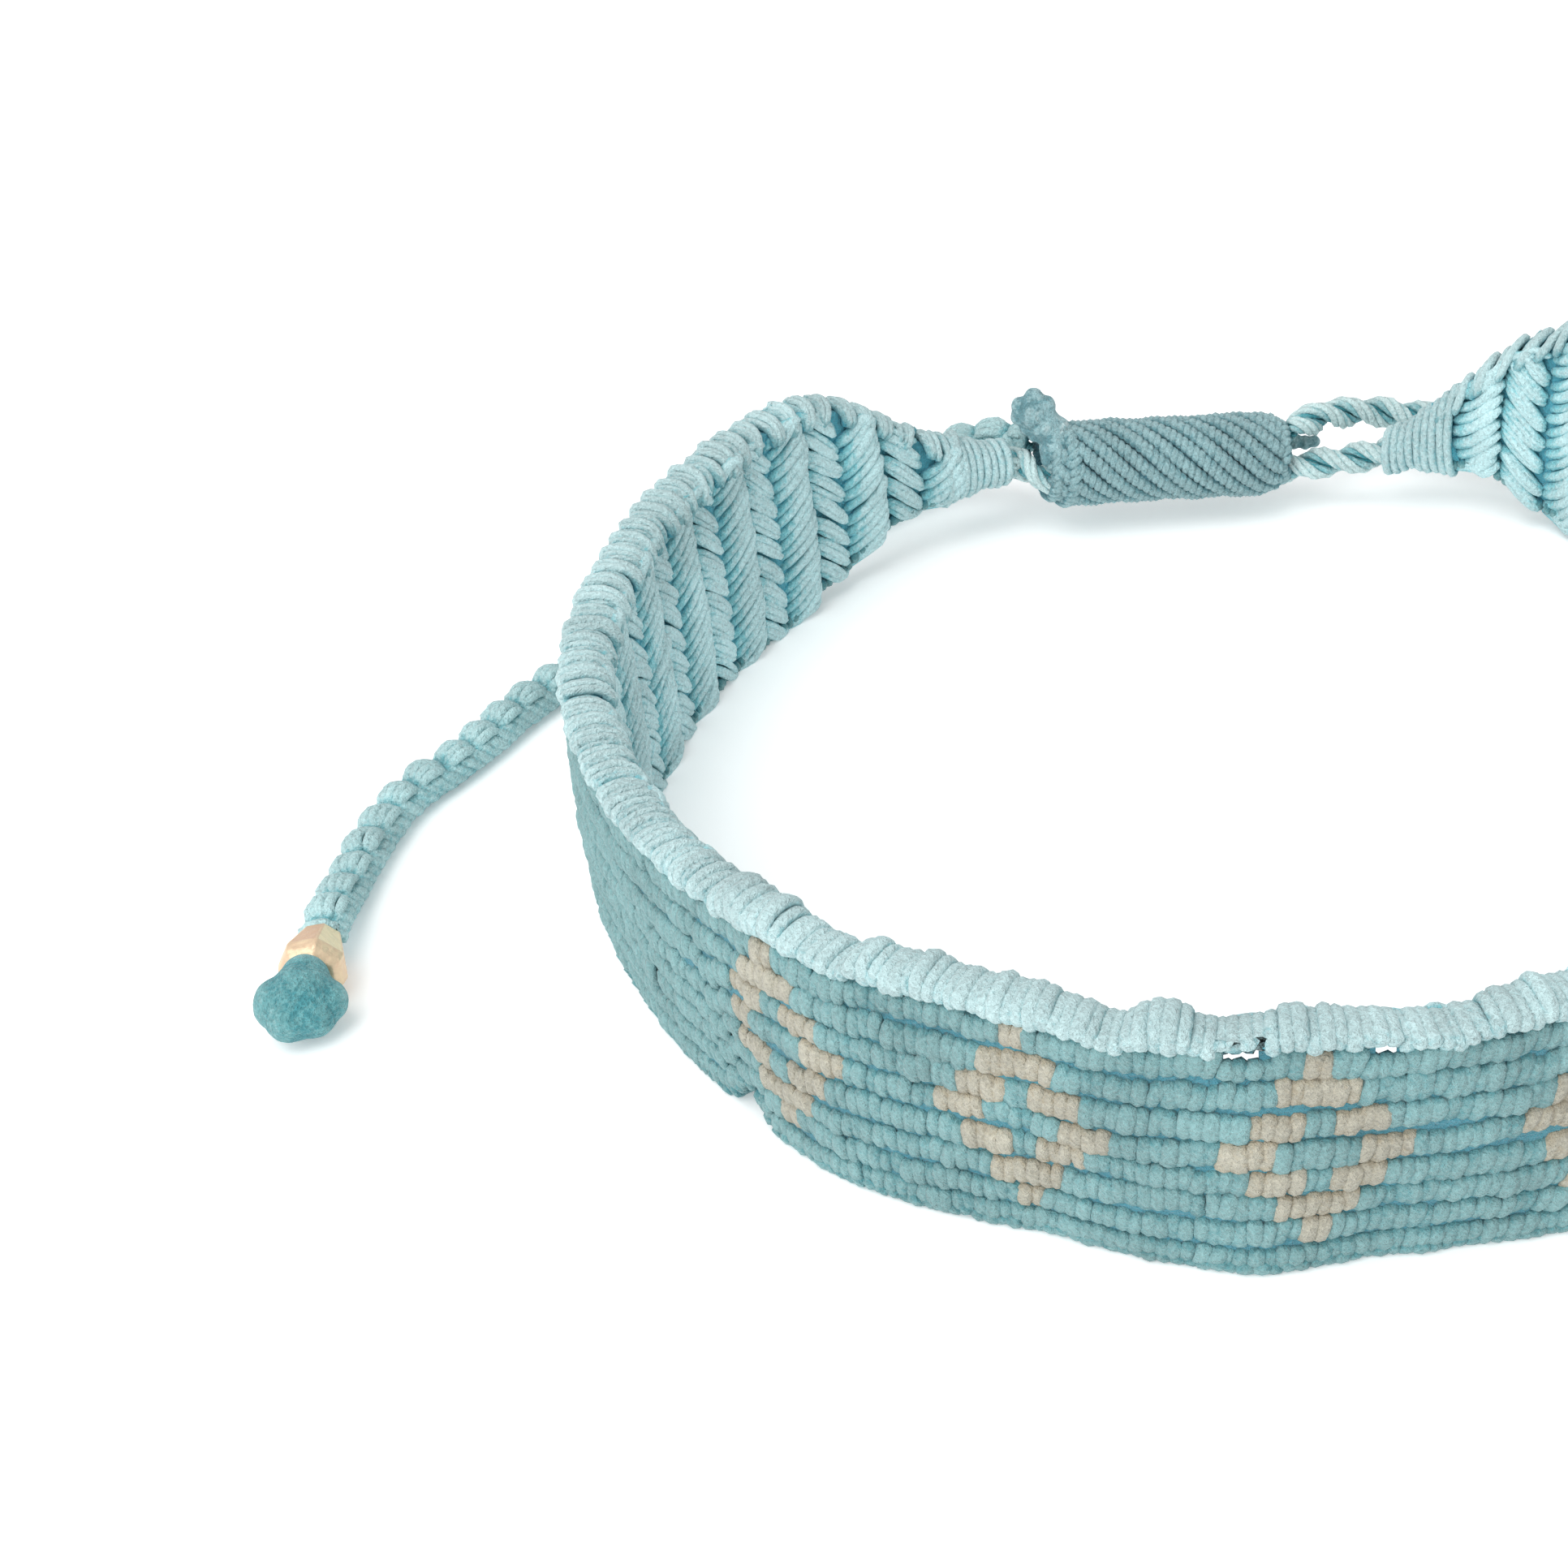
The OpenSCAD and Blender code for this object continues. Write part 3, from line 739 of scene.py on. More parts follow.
@dataclass(frozen=True)
class ThreadFinish:
    """Spun cotton thread, coloured by its height: a dark, saturated painted shade deep between the strands, and a
    pale painted highlight on the crests.
    """

    name: str
    # groove: painted shade deep between strands; body: the mid tone; crest: painted highlight on the tops.
    groove: tuple
    body: tuple
    crest: tuple
    pitch: float = 0.55
    plies: float = 3.0
    ply_bump: float = 0.15
    ply_shade: float = 0.06
    streak: float = 0.22
    fuzz_bump: float = 0.9
    mottle: float = 0.5
    speck: float = 0.24
    roughness: float = 0.92

    def make(self, groups: "Groups") -> bpy.types.Material:
        """Builds the material from the shared groups.

        Args:
            groups: the shared node groups.

        Returns:
            The material.
        """
        material, make, shade = blank(self.name)
        shade.inputs["Sheen Weight"].default_value = 0.25
        shade.inputs["Sheen Roughness"].default_value = 0.45
        shade.inputs["Specular IOR Level"].default_value = 0.15
        rise = make.add("ShaderNodeAttribute", attribute_name="rise")
        tint = make.add("ShaderNodeAttribute", attribute_name="tint")
        fuzz = make.add("ShaderNodeGroup", node_tree=groups.fuzz)
        level = make.math("ADD", rise.outputs["Fac"],
                          make.math("MULTIPLY_ADD", fuzz.outputs["Fleck"], self.mottle, -0.5 * self.mottle))
        height = make.math("MULTIPLY", fuzz.outputs["Fibre"], self.fuzz_bump)
        if self.plies:
            ply = make.add("ShaderNodeGroup", node_tree=groups.ply)
            ply.inputs["Pitch"].default_value = self.pitch
            ply.inputs["Plies"].default_value = self.plies
            level = make.math("ADD", level, make.math("MULTIPLY_ADD", ply.outputs["Height"], self.ply_shade,
                                                      -0.6 * self.ply_shade))
            level = make.math("ADD", level, make.math("MULTIPLY_ADD", ply.outputs["Streak"], self.streak * 2,
                                                      -self.streak))
            height = make.math("ADD", height, make.math("MULTIPLY", ply.outputs["Height"], self.ply_bump))
            height = make.math("ADD", height, make.math("MULTIPLY", ply.outputs["Streak"], 0.5))
        # Painted shade and light: the colour runs from the groove shade low between strands to the lit crest colour
        # on top, by each strand's rise.
        depth_shaded = make.ramp(level, "EASE", (0.1, self.groove), (0.5, self.body), (0.95, self.crest))
        lightness = make.math("ADD", make.math("MULTIPLY_ADD", tint.outputs["Fac"], 0.14, 0.93),
                              make.math("MULTIPLY_ADD", fuzz.outputs["Dye"], 0.3, -0.15))
        lightness = make.math("ADD", lightness, make.math("MULTIPLY_ADD", fuzz.outputs["Fibre"], 2 * self.speck,
                                                          -self.speck))
        grey = make.add("ShaderNodeCombineColor")
        for socket in grey.inputs[:3]:
            make.link(lightness, socket)
        colour = make.blend("MULTIPLY", 1.0, depth_shaded, grey.outputs[0])
        make.link(colour, shade.inputs["Base Color"])
        rough = make.math("MULTIPLY_ADD", fuzz.outputs["Fibre"], 0.12, self.roughness - 0.06)
        make.link(rough, shade.inputs["Roughness"])
        bump = make.add("ShaderNodeBump", in_Strength=1.0, in_Distance=0.00012)
        make.link(height, bump.inputs["Height"])
        make.link(bump.outputs[0], shade.inputs["Normal"])
        return material


@dataclass(frozen=True)
class GoldFinish:
    """Pale gold of a bead: rough facets, a few of them brighter as a painted reflection."""

    name: str = "bead_gold"
    dull: tuple = srgb(220, 182, 152)
    base: tuple = srgb(232, 200, 168)
    bright: tuple = srgb(255, 238, 200)
    roughness: float = 0.42

    def make(self) -> bpy.types.Material:
        """Builds the material.

        Returns:
            The material.
        """
        material, make, shade = blank(self.name)
        shade.inputs["Metallic"].default_value = 0.45
        place = make.add("ShaderNodeTexCoord")
        facet_glint = make.add("ShaderNodeAttribute", attribute_name="facet_glint")
        noise = make.add("ShaderNodeTexNoise", in_Scale=2200.0, in_Detail=4.0, in_Roughness=0.65)
        pits = make.add("ShaderNodeTexVoronoi", in_Scale=3000.0)
        make.link(place.outputs["Object"], noise.inputs["Vector"])
        make.link(place.outputs["Object"], pits.inputs["Vector"])
        # Painted reflection: each facet's fixed lightness moves its colour from dull to bright.
        level = make.math("ADD", facet_glint.outputs["Fac"], make.math("MULTIPLY_ADD", noise.outputs["Fac"], 0.7, -0.35))
        make.link(make.ramp(level, "LINEAR", (0.0, self.dull), (0.4, self.base), (0.9, self.bright)),
                  shade.inputs["Base Color"])
        make.link(make.math("MULTIPLY_ADD", noise.outputs["Fac"], 0.3, self.roughness - 0.15),
                  shade.inputs["Roughness"])
        height = make.math("ADD", noise.outputs["Fac"], make.math("MULTIPLY", pits.outputs["Distance"], 0.5))
        bump = make.add("ShaderNodeBump", in_Strength=0.8, in_Distance=0.0001)
        make.link(height, bump.inputs["Height"])
        make.link(bump.outputs[0], shade.inputs["Normal"])
        return material


@dataclass(frozen=True)
class TableFinish:
    """The pale, even surface that the bracelet stands on."""

    name: str = "table_pale"
    light: tuple = srgb(252, 252, 252)
    glow: float = 0.22

    def make(self) -> bpy.types.Material:
        """Builds the material.

        Returns:
            The material.
        """
        material, make, shade = blank(self.name)
        shade.inputs["Roughness"].default_value = 0.9
        shade.inputs["Specular IOR Level"].default_value = 0.1
        shade.inputs["Base Color"].default_value = self.light
        # Painted light: the table glows a little, which lightens the shadows on it and lights the bracelet from
        # below.
        shade.inputs["Emission Color"].default_value = self.light
        shade.inputs["Emission Strength"].default_value = self.glow
        return material


class Groups:
    """The node groups that the thread finishes share."""

    def __init__(self) -> None:
        """Builds each group once."""
        self.ply = ply_group()
        self.fuzz = fuzz_group()


class Finishes:
    """Every finish of the bracelet."""

    def __init__(self) -> None:
        """Builds the materials."""
        groups = Groups()
        # Painted shade, in part: the outer knots' teal is darker and greyer than the band's other teal threads, set
        # so for the shade on the front face.
        self.teal = ThreadFinish("thread_teal", srgb(66, 138, 155), srgb(98, 154, 160),
                                 srgb(136, 177, 179), ply_shade=0.04).make(groups)
        self.cream = ThreadFinish("thread_cream", srgb(146, 140, 112), srgb(178, 169, 148),
                                  srgb(188, 185, 170), ply_shade=0.04).make(groups)
        self.lining = ThreadFinish("thread_lining", srgb(80, 178, 200), srgb(138, 208, 216),
                                   srgb(204, 237, 240)).make(groups)
        # The core's colour is the band's teal in the gaps between stitches, made saturated as painted shade and set
        # lighter to make up for the real occlusion there.
        self.deep = ThreadFinish("thread_deep", srgb(84, 150, 166), srgb(100, 172, 188),
                                 srgb(92, 176, 194), plies=0.0, mottle=0.1).make(groups)
        self.rim = ThreadFinish("thread_rim", srgb(78, 168, 186), srgb(142, 194, 200),
                                srgb(194, 222, 224)).make(groups)
        self.cord = ThreadFinish("thread_cord", srgb(76, 162, 174), srgb(154, 204, 209),
                                 srgb(212, 236, 236)).make(groups)
        self.braid = ThreadFinish("thread_braid", srgb(66, 150, 166), srgb(128, 192, 199),
                                  srgb(190, 225, 227)).make(groups)
        self.knot = ThreadFinish("thread_knot", srgb(80, 128, 141), srgb(108, 154, 162),
                                 srgb(158, 192, 196), mottle=0.6, speck=0.3).make(groups)
        self.felt = ThreadFinish("felt_teal", srgb(78, 146, 154), srgb(112, 171, 175), srgb(150, 197, 199),
                                 plies=0.0, mottle=0.9, fuzz_bump=1.0, speck=0.3).make(groups)
        self.stub = ThreadFinish("felt_grey_teal", srgb(116, 160, 168), srgb(160, 196, 201),
                                 srgb(200, 222, 224), plies=0.0, mottle=0.9, fuzz_bump=1.0, speck=0.3).make(groups)
        self.gold = GoldFinish().make()
        self.table = TableFinish().make()


# Studio and camera.


@dataclass
class Studio:
    """The photograph's viewpoint, a pale table and soft light."""

    eye: tuple = (-26.4, -88.4, 68.1)
    down: float = 35.43
    yaw: float = 3.45
    roll: float = -8.0
    focal_px: float = 3008.0
    frame_px: float = 1932.0
    sensor: float = 36.0
    lamps: tuple = (("overhead", (-0.16, -0.14, 0.5), 0.36, 1.35), ("front", (-0.42, -0.32, 0.26), 0.35, 0.9))

    def camera(self) -> bpy.types.Object:
        """Places the camera.

        Returns:
            The camera.
        """
        data = bpy.data.cameras.new("view")
        data.sensor_width = self.sensor
        data.lens = self.focal_px / self.frame_px * self.sensor
        data.clip_start, data.clip_end = 0.005, 5.0
        e, y, r = (math.radians(v) for v in (self.down, self.yaw, self.roll))
        ahead = Vector((math.sin(y) * math.cos(e), math.cos(y) * math.cos(e), -math.sin(e)))
        right = Vector((math.cos(y), -math.sin(y), 0.0))
        up = right.cross(ahead)
        tilted = math.cos(r) * right + math.sin(r) * up
        upright = -math.sin(r) * right + math.cos(r) * up
        view = bpy.data.objects.new("view", data)
        turn = Matrix((tilted, upright, -ahead)).transposed().to_4x4()
        spot = Vector(self.eye) + Vector(RING_MID)
        view.matrix_world = Matrix.Translation(spot * MM) @ turn
        bpy.context.scene.collection.objects.link(view)
        bpy.context.scene.camera = view
        return view

    def table(self, finish: bpy.types.Material) -> bpy.types.Object:
        """Lays the table.

        Args:
            finish: the material.

        Returns:
            The table.
        """
        bm = bmesh.new()
        bmesh.ops.create_grid(bm, x_segments=1, y_segments=1, size=2.0)
        table = put("table", bm)
        table.data.materials.append(finish)
        return table

    @staticmethod
    def lamp(name: str, spot: tuple, size: float, watts: float) -> None:
        """Hangs a square soft lamp that points at the middle of the table.

        Args:
            name: the lamp's name.
            spot: where it is, in metres.
            size: its side.
            watts: its power.
        """
        data = bpy.data.lights.new(name, "AREA")
        data.size = size
        data.energy = watts
        lamp = bpy.data.objects.new(name, data)
        lamp.location = spot
        lamp.rotation_euler = (-Vector(spot)).to_track_quat("-Z", "Y").to_euler()
        bpy.context.scene.collection.objects.link(lamp)

    def light(self) -> None:
        """Sets the sky and lamps."""
        scene = bpy.context.scene
        scene.view_settings.view_transform = "Standard"
        world = bpy.data.worlds.new("studio")
        scene.world = world
        world.use_nodes = True
        make = NodeMaker(world.node_tree)
        sky = make.add("ShaderNodeBackground", in_Color=(1.0, 1.0, 1.0, 1.0), in_Strength=0.66)
        out = make.add("ShaderNodeOutputWorld")
        make.link(sky.outputs[0], out.inputs[0])
        for name, spot, size, watts in self.lamps:
            self.lamp(name, spot, size, watts)


# The band.


@dataclass
class BandCore:
    """The band's inside, just under its knots, which shows between them."""

    outer_inset: float = 0.12
    inner_inset: float = 0.18
    edge_inset: float = 0.2
    held_share: float = 0.8
    pierce_run: float = 8.0
    pierce_h: float = 0.68
    steps: int = 300
    rise: int = 10

    def build(self, finish: bpy.types.Material) -> bpy.types.Object:
        """Skins rings of points along the band and cuts the eyelets through.

        Args:
            finish: its material.

        Returns:
            The piece.
        """
        bm = bmesh.new()
        first = last = None
        before = None
        for a in np.linspace(RING.left_tip + 4, RING.right_tip - 4, self.steps):
            ring = [bm.verts.new(p * MM) for p in self._section(np.array(float(a)))]
            loop = [bm.edges.new((ring[i], ring[(i + 1) % len(ring)])) for i in range(len(ring))]
            if before:
                bmesh.ops.bridge_loops(bm, edges=before + loop)
            first = first or ring
            before, last = loop, ring
        bmesh.ops.contextual_create(bm, geom=first)
        bmesh.ops.contextual_create(bm, geom=last)
        bmesh.ops.recalc_face_normals(bm, faces=bm.faces)
        core = put("band_core", bm)
        mesh = self._pierce(core)
        mesh.materials.append(finish)
        spots = np.array([v.co[:] for v in mesh.vertices]) / MM - RING_MID
        # Painted shade: the outer half of the core takes the darker groove colour, the inner half the paler one.
        turned = np.degrees(np.arctan2(spots[:, 0], -spots[:, 1]))
        within = np.hypot(spots[:, 0], spots[:, 1]) < RING.path_r(turned)
        record(mesh, "rise", within)
        record(mesh, "tint", np.full(len(spots), 0.5))
        return settle(core, "band", "woven_band")

    def _section(self, a: np.ndarray) -> list[Vector]:
        """The core's outline at an angle, up its outer face and down its inner one.

        Args:
            a: an angle round the ring, in degrees.

        Returns:
            The outline's points, in millimetres.
        """
        lower, upper = RING.lower(a), RING.upper(a)
        mid, half, thick = RING.hold(a)
        held = RING.left_mouth > a or a > RING.right_mouth
        if held:
            lower, upper = mid - half + 0.1, mid + half - 0.1
        points = []
        for face, shares in ((Face.OUTER, range(self.rise + 1)), (Face.INNER, range(self.rise, -1, -1))):
            for i in shares:
                inset = self.outer_inset if face is Face.OUTER else self.inner_inset
                z = mix(lower + self.edge_inset, upper - self.edge_inset, i / self.rise)
                if held:
                    round_off = math.sqrt(1 - 0.92 * (2 * i / self.rise - 1) ** 2)
                    r = RING.path_r(a) + face.value * thick * self.held_share * round_off
                else:
                    r = RING.face_r(face, a, z) - face.value * (inset + 0.2 * RING.taper(a))
                if i == self.rise:
                    z = z + RING.proud(a) - 0.05
                points.append(Vector(RING.at(a, r, z)))
        return points

    def _pierce(self, core: bpy.types.Object) -> bpy.types.Mesh:
        """Cuts each eyelet through the core along the line of sight, and returns the new mesh.

        Args:
            core: the core.

        Returns:
            Its new mesh.
        """
        bm = bmesh.new()
        for eyelet in EYELETS:
            turned = (Matrix.Translation(Vector(eyelet.middle()) * MM)
                      @ Matrix.Rotation(math.radians(eyelet.sight), 4, "Z")
                      @ Matrix.Rotation(-math.atan(EYELET_FALL), 4, "X")
                      @ Matrix.Diagonal((eyelet.wide * MM, self.pierce_run * MM, self.pierce_h * MM, 1)))
            bmesh.ops.create_cube(bm, size=1.0, matrix=turned)
        tool = put("eyelet_tool", bm)
        cut = core.modifiers.new("eyelets", "BOOLEAN")
        cut.object, cut.operation, cut.solver = tool, "DIFFERENCE", "EXACT"
        made, mesh = fix_modifiers(core), tool.data
        bpy.data.objects.remove(tool)
        bpy.data.meshes.remove(mesh)
        return made


@dataclass
class OuterKnots:
    """The rows of knots on the outer face, two wraps a knot, with diamonds in cream."""

    column_step: float = 1.8545
    middle_at: float = -12.0
    motif_at: tuple = (-52.8, -32.4, -12.0, 8.4, 28.8)
    motif: tuple = ("...X...", "..XXX..", ".XX.XX.", "XX...XX", ".XX.XX.", "..XXX..", "...X...")
    wrap_w: float = 0.35
    wrap_h: float = 0.22
    under_rim: float = 0.28
    sunk: float = 0.12
    shares: tuple = (-0.52, -0.36, -0.06, 0.3, 0.52)
    lifts: tuple = (-0.24, -0.04, 0.08, 0.06, -0.18)
    # Painted light: wraps between pale_from and pale_to, on the left, are lifted toward the crest colour by up to
    # pale, for the light that falls from the left.
    pale: float = 0.3
    pale_from: float = -95.0
    pale_to: float = -45.0
    seed: int = 11

    def tone(self, column_angle: float, row: int) -> Tone:
        """The colour of the knot at a column's angle and a row counted from the lower edge.

        Args:
            column_angle: the column's angle, in degrees.
            row: the row's number, from 0.

        Returns:
            The colour of its thread.
        """
        for centre in self.motif_at:
            column = round((column_angle - centre) / self.column_step) + 3
            if 0 <= column <= 6 and abs(column_angle - centre) < 3.6 * self.column_step and 1 <= row <= 7:
                return Tone.CREAM if self.motif[7 - row][column] == "X" else Tone.TEAL
        return Tone.TEAL

    def build(self, finishes: Finishes) -> list[bpy.types.Object]:
        """Lays every wrap and joins them by colour and half.

        Args:
            finishes: the materials.

        Returns:
            The pieces.
        """
        rng = np.random.default_rng(self.seed)
        stock = ThreadStock(7, 8)
        shares, lifts = np.array(self.shares), np.array(self.lifts)
        rows: dict[str, list] = {"outer_knots_left": [], "outer_knots_right": [], "outer_knots_cream": []}
        first = math.ceil((RING.left_mouth - self.middle_at) / self.column_step)
        last = math.floor((RING.right_mouth - self.middle_at) / self.column_step)
        for column in range(first, last + 1):
            a0 = self.middle_at + column * self.column_step
            low, high = float(RING.lower(np.array(a0))), float(RING.upper(np.array(a0)))
            count = max(3, round((high - low) / RING.row_h))
            pitch = (high - low - self.under_rim) / (count - 1)
            for row in range(count - 1):
                tone = self.tone(a0, row) if count == RING.rows else Tone.TEAL
                sag = (0.1 * math.sin(0.23 * column + 1.3 * row) + 0.06 * math.sin(0.61 * column + 2.3 * row)
                       + rng.normal(0, 0.035))
                z0 = low + (row + 0.5) * pitch + (sag if row > 0 else 0)
                thin = 0.95 + 0.08 * math.sin(0.31 * column + 2.1 * row)
                key = "outer_knots_cream" if tone is Tone.CREAM else (
                    "outer_knots_left" if a0 < self.middle_at else "outer_knots_right")
                tint, plump = rng.uniform(0.25, 0.75), rng.normal(0, 0.03)
                for wrap in (-0.25, 0.25):
                    a = a0 + wrap * self.column_step + rng.normal(0, 0.06)
                    middle, tall = self._clear(a, z0 + rng.normal(0, 0.05), pitch * thin * rng.normal(1.0, 0.06))
                    rows[key].append((a, middle, tall, rng.normal(0.22, 0.12), plump + rng.normal(0, 0.03),
                                      tint + rng.uniform(-0.25, 0.25)))
        pieces = []
        for name, wraps in rows.items():
            data = np.array(wraps)
            a = data[:, :1] + data[:, 3:4] * shares * self.column_step
            z = data[:, 1:2] + data[:, 2:3] * shares
            lift = lifts + data[:, 4:5]
            points = RING.at(a, RING.face_r(Face.OUTER, a, z) + lift - self.sunk, z)
            finish = finishes.cream if name == "outer_knots_cream" else finishes.teal
            # Painted light on the left side of the band, fading out toward the front.
            pale = self.pale * np.interp(data[:, :1], [self.pale_from, self.pale_to], [1, 0])
            batch = stock.lay(points, RING.outward(a), self.wrap_w * np.exp(rng.normal(0, 0.07, len(a))),
                              self.wrap_h, lift + pale, data[:, 5], cap=0.26, reach=(-0.3, 0.34))
            pieces.append(settle(join(name, [batch], finish), "band", "woven_band"))
        return pieces

    @staticmethod
    def _clear(a: float, middle: float, tall: float) -> tuple[float, float]:
        """The middle and height of a wrap, cut short where it would close an eyelet.

        Args:
            a: the wrap's angle, in degrees.
            middle: the height of its middle.
            tall: how tall it is.

        Returns:
            The new middle and height.
        """
        for eyelet in EYELETS:
            low, sill = middle - 0.5 * tall, eyelet.height - EYELET_HALF
            if eyelet.beside(a, 0.3) and middle + 0.5 * tall > sill > low:
                return (low + sill) / 2, sill - low
        return middle, tall


@dataclass
class InnerStitches:
    """The inner face: between two ridges, a column of leaf stitches and a column of thin strands."""

    seed: int = 5
    leaf: tuple = ((0.0, 1.15, -0.3), (0.45, 0.85, 0.0), (1.0, 0.36, 0.17), (1.6, -0.24, 0.2), (2.15, -0.8, 0.14),
                   (2.5, -1.1, -0.08))
    strand: tuple = ((2.3, -0.42, -0.34), (2.75, -0.36, -0.2), (3.25, -0.16, -0.04), (3.75, 0.16, 0.1),
                     (4.15, 0.52, 0.24), (4.5, 0.92, 0.3), (4.8, 1.28, 0.2), (5.0, 1.52, -0.1))
    leaf_size: tuple = (0.385, 0.215)
    strand_size: tuple = (0.645, 0.32)

    def build(self, finishes: Finishes) -> list[bpy.types.Object]:
        """Lays both kinds of stitch round the whole band.

        Args:
            finishes: the materials.

        Returns:
            The pieces.
        """
        rng = np.random.default_rng(self.seed)
        places = []
        first = math.floor((RING.left_mouth - RING.ridge_at) / RING.ridge_step)
        last = math.ceil((RING.right_mouth - RING.ridge_at) / RING.ridge_step) + 1
        for ridge in range(first, last + 1):
            start = RING.ridge_at + ridge * RING.ridge_step + rng.normal(0, 0.12)
            shift = rng.uniform(-0.3, 0.3)
            for row in range(-2, RING.rows + 2):
                z0 = (row + 0.5) * RING.band_h / RING.rows + shift + rng.normal(0, 0.05)
                tint, lean = rng.uniform(0.2, 0.8), rng.normal(0, 0.1)
                for j in (-1, 0, 1, -0.5, 0.5):
                    places.append((start, z0, j, tint + rng.uniform(-0.2, 0.2), rng.normal(0, 0.04),
                                   rng.normal(0, 0.1), lean))
        places = np.array(places)
        pieces = []
        for name, table, (spacing, wide) in (("inner_leaves", np.array(self.leaf), self.leaf_size),
                                             ("inner_strands", np.array(self.strand), self.strand_size)):
            share = np.linspace(0, 1, len(table))
            leaves = name == "inner_leaves"
            data = places[(np.abs(places[:, 2]) != 0.5) == leaves]
            fan = 0.42 + 0.62 * np.sin(math.pi * np.clip(share * 1.1, 0, 1)) if leaves else np.ones(len(share))
            a = data[:, :1] - RING.ridge_step * table[:, 0] / RING.ridge_pitch + data[:, 5:6]
            z = data[:, 1:2] + data[:, 2:3] * spacing * fan + table[:, 1] + data[:, 4:5]
            z += data[:, 6:7] * (share - 0.5) * 2
            plump = 0.08 * (1 - data[:, 2:3] ** 2) * np.sin(math.pi * share) if leaves else 0.0
            keep = self._inside(a, z)
            lift = (table[:, 2] + data[:, 4:5] + plump)[keep]
            a, z = a[keep], z[keep]
            low, high = RING.lower(a) + 0.15, RING.upper(a) + np.minimum(RING.proud(a), 0) - 0.2
            z = np.clip(z, low, np.maximum(high, low))
            points = RING.at(a, RING.face_r(Face.INNER, a, z) - lift + 0.08, z)
            batch = ThreadStock(6, 10).lay(points, -RING.outward(a), wide * np.exp(rng.normal(0, 0.08, len(a))),
                                           wide * 0.95, lift, data[keep, 3], cap=0.2, reach=(-0.28, 0.42))
            pieces.append(settle(join(name, [batch], finishes.lining), "band", "woven_band"))
        return pieces

    @staticmethod
    def _inside(a: np.ndarray, z: np.ndarray) -> np.ndarray:
        """Which stitches lie between the mouths of the whippings, between the edges and clear of the eyelets.

        Args:
            a: the angle of each stitch's control points.
            z: the height of each stitch's control points.

        Returns:
            True for each stitch that stays.
        """
        middle = a.shape[1] // 2
        am, zm = a[:, middle], z[:, middle]
        inside = (a.min(axis=1) > RING.left_mouth - 2.2) & (a.max(axis=1) < RING.right_mouth + 2)
        inside &= (zm > RING.lower(am) - 0.25) & (zm < RING.upper(am) + 0.15)
        for eyelet in EYELETS:
            exit_a = eyelet.angle + RING.turn(2.1 * math.sin(math.radians(eyelet.angle - eyelet.sight)))
            near = np.abs(np.radians(a - exit_a)) * RING.mid_r < eyelet.wide / 2 + 0.2
            near &= np.abs(z - (eyelet.height - 2 * EYELET_FALL)) < 0.6
            inside &= ~near.any(axis=1)
        return inside


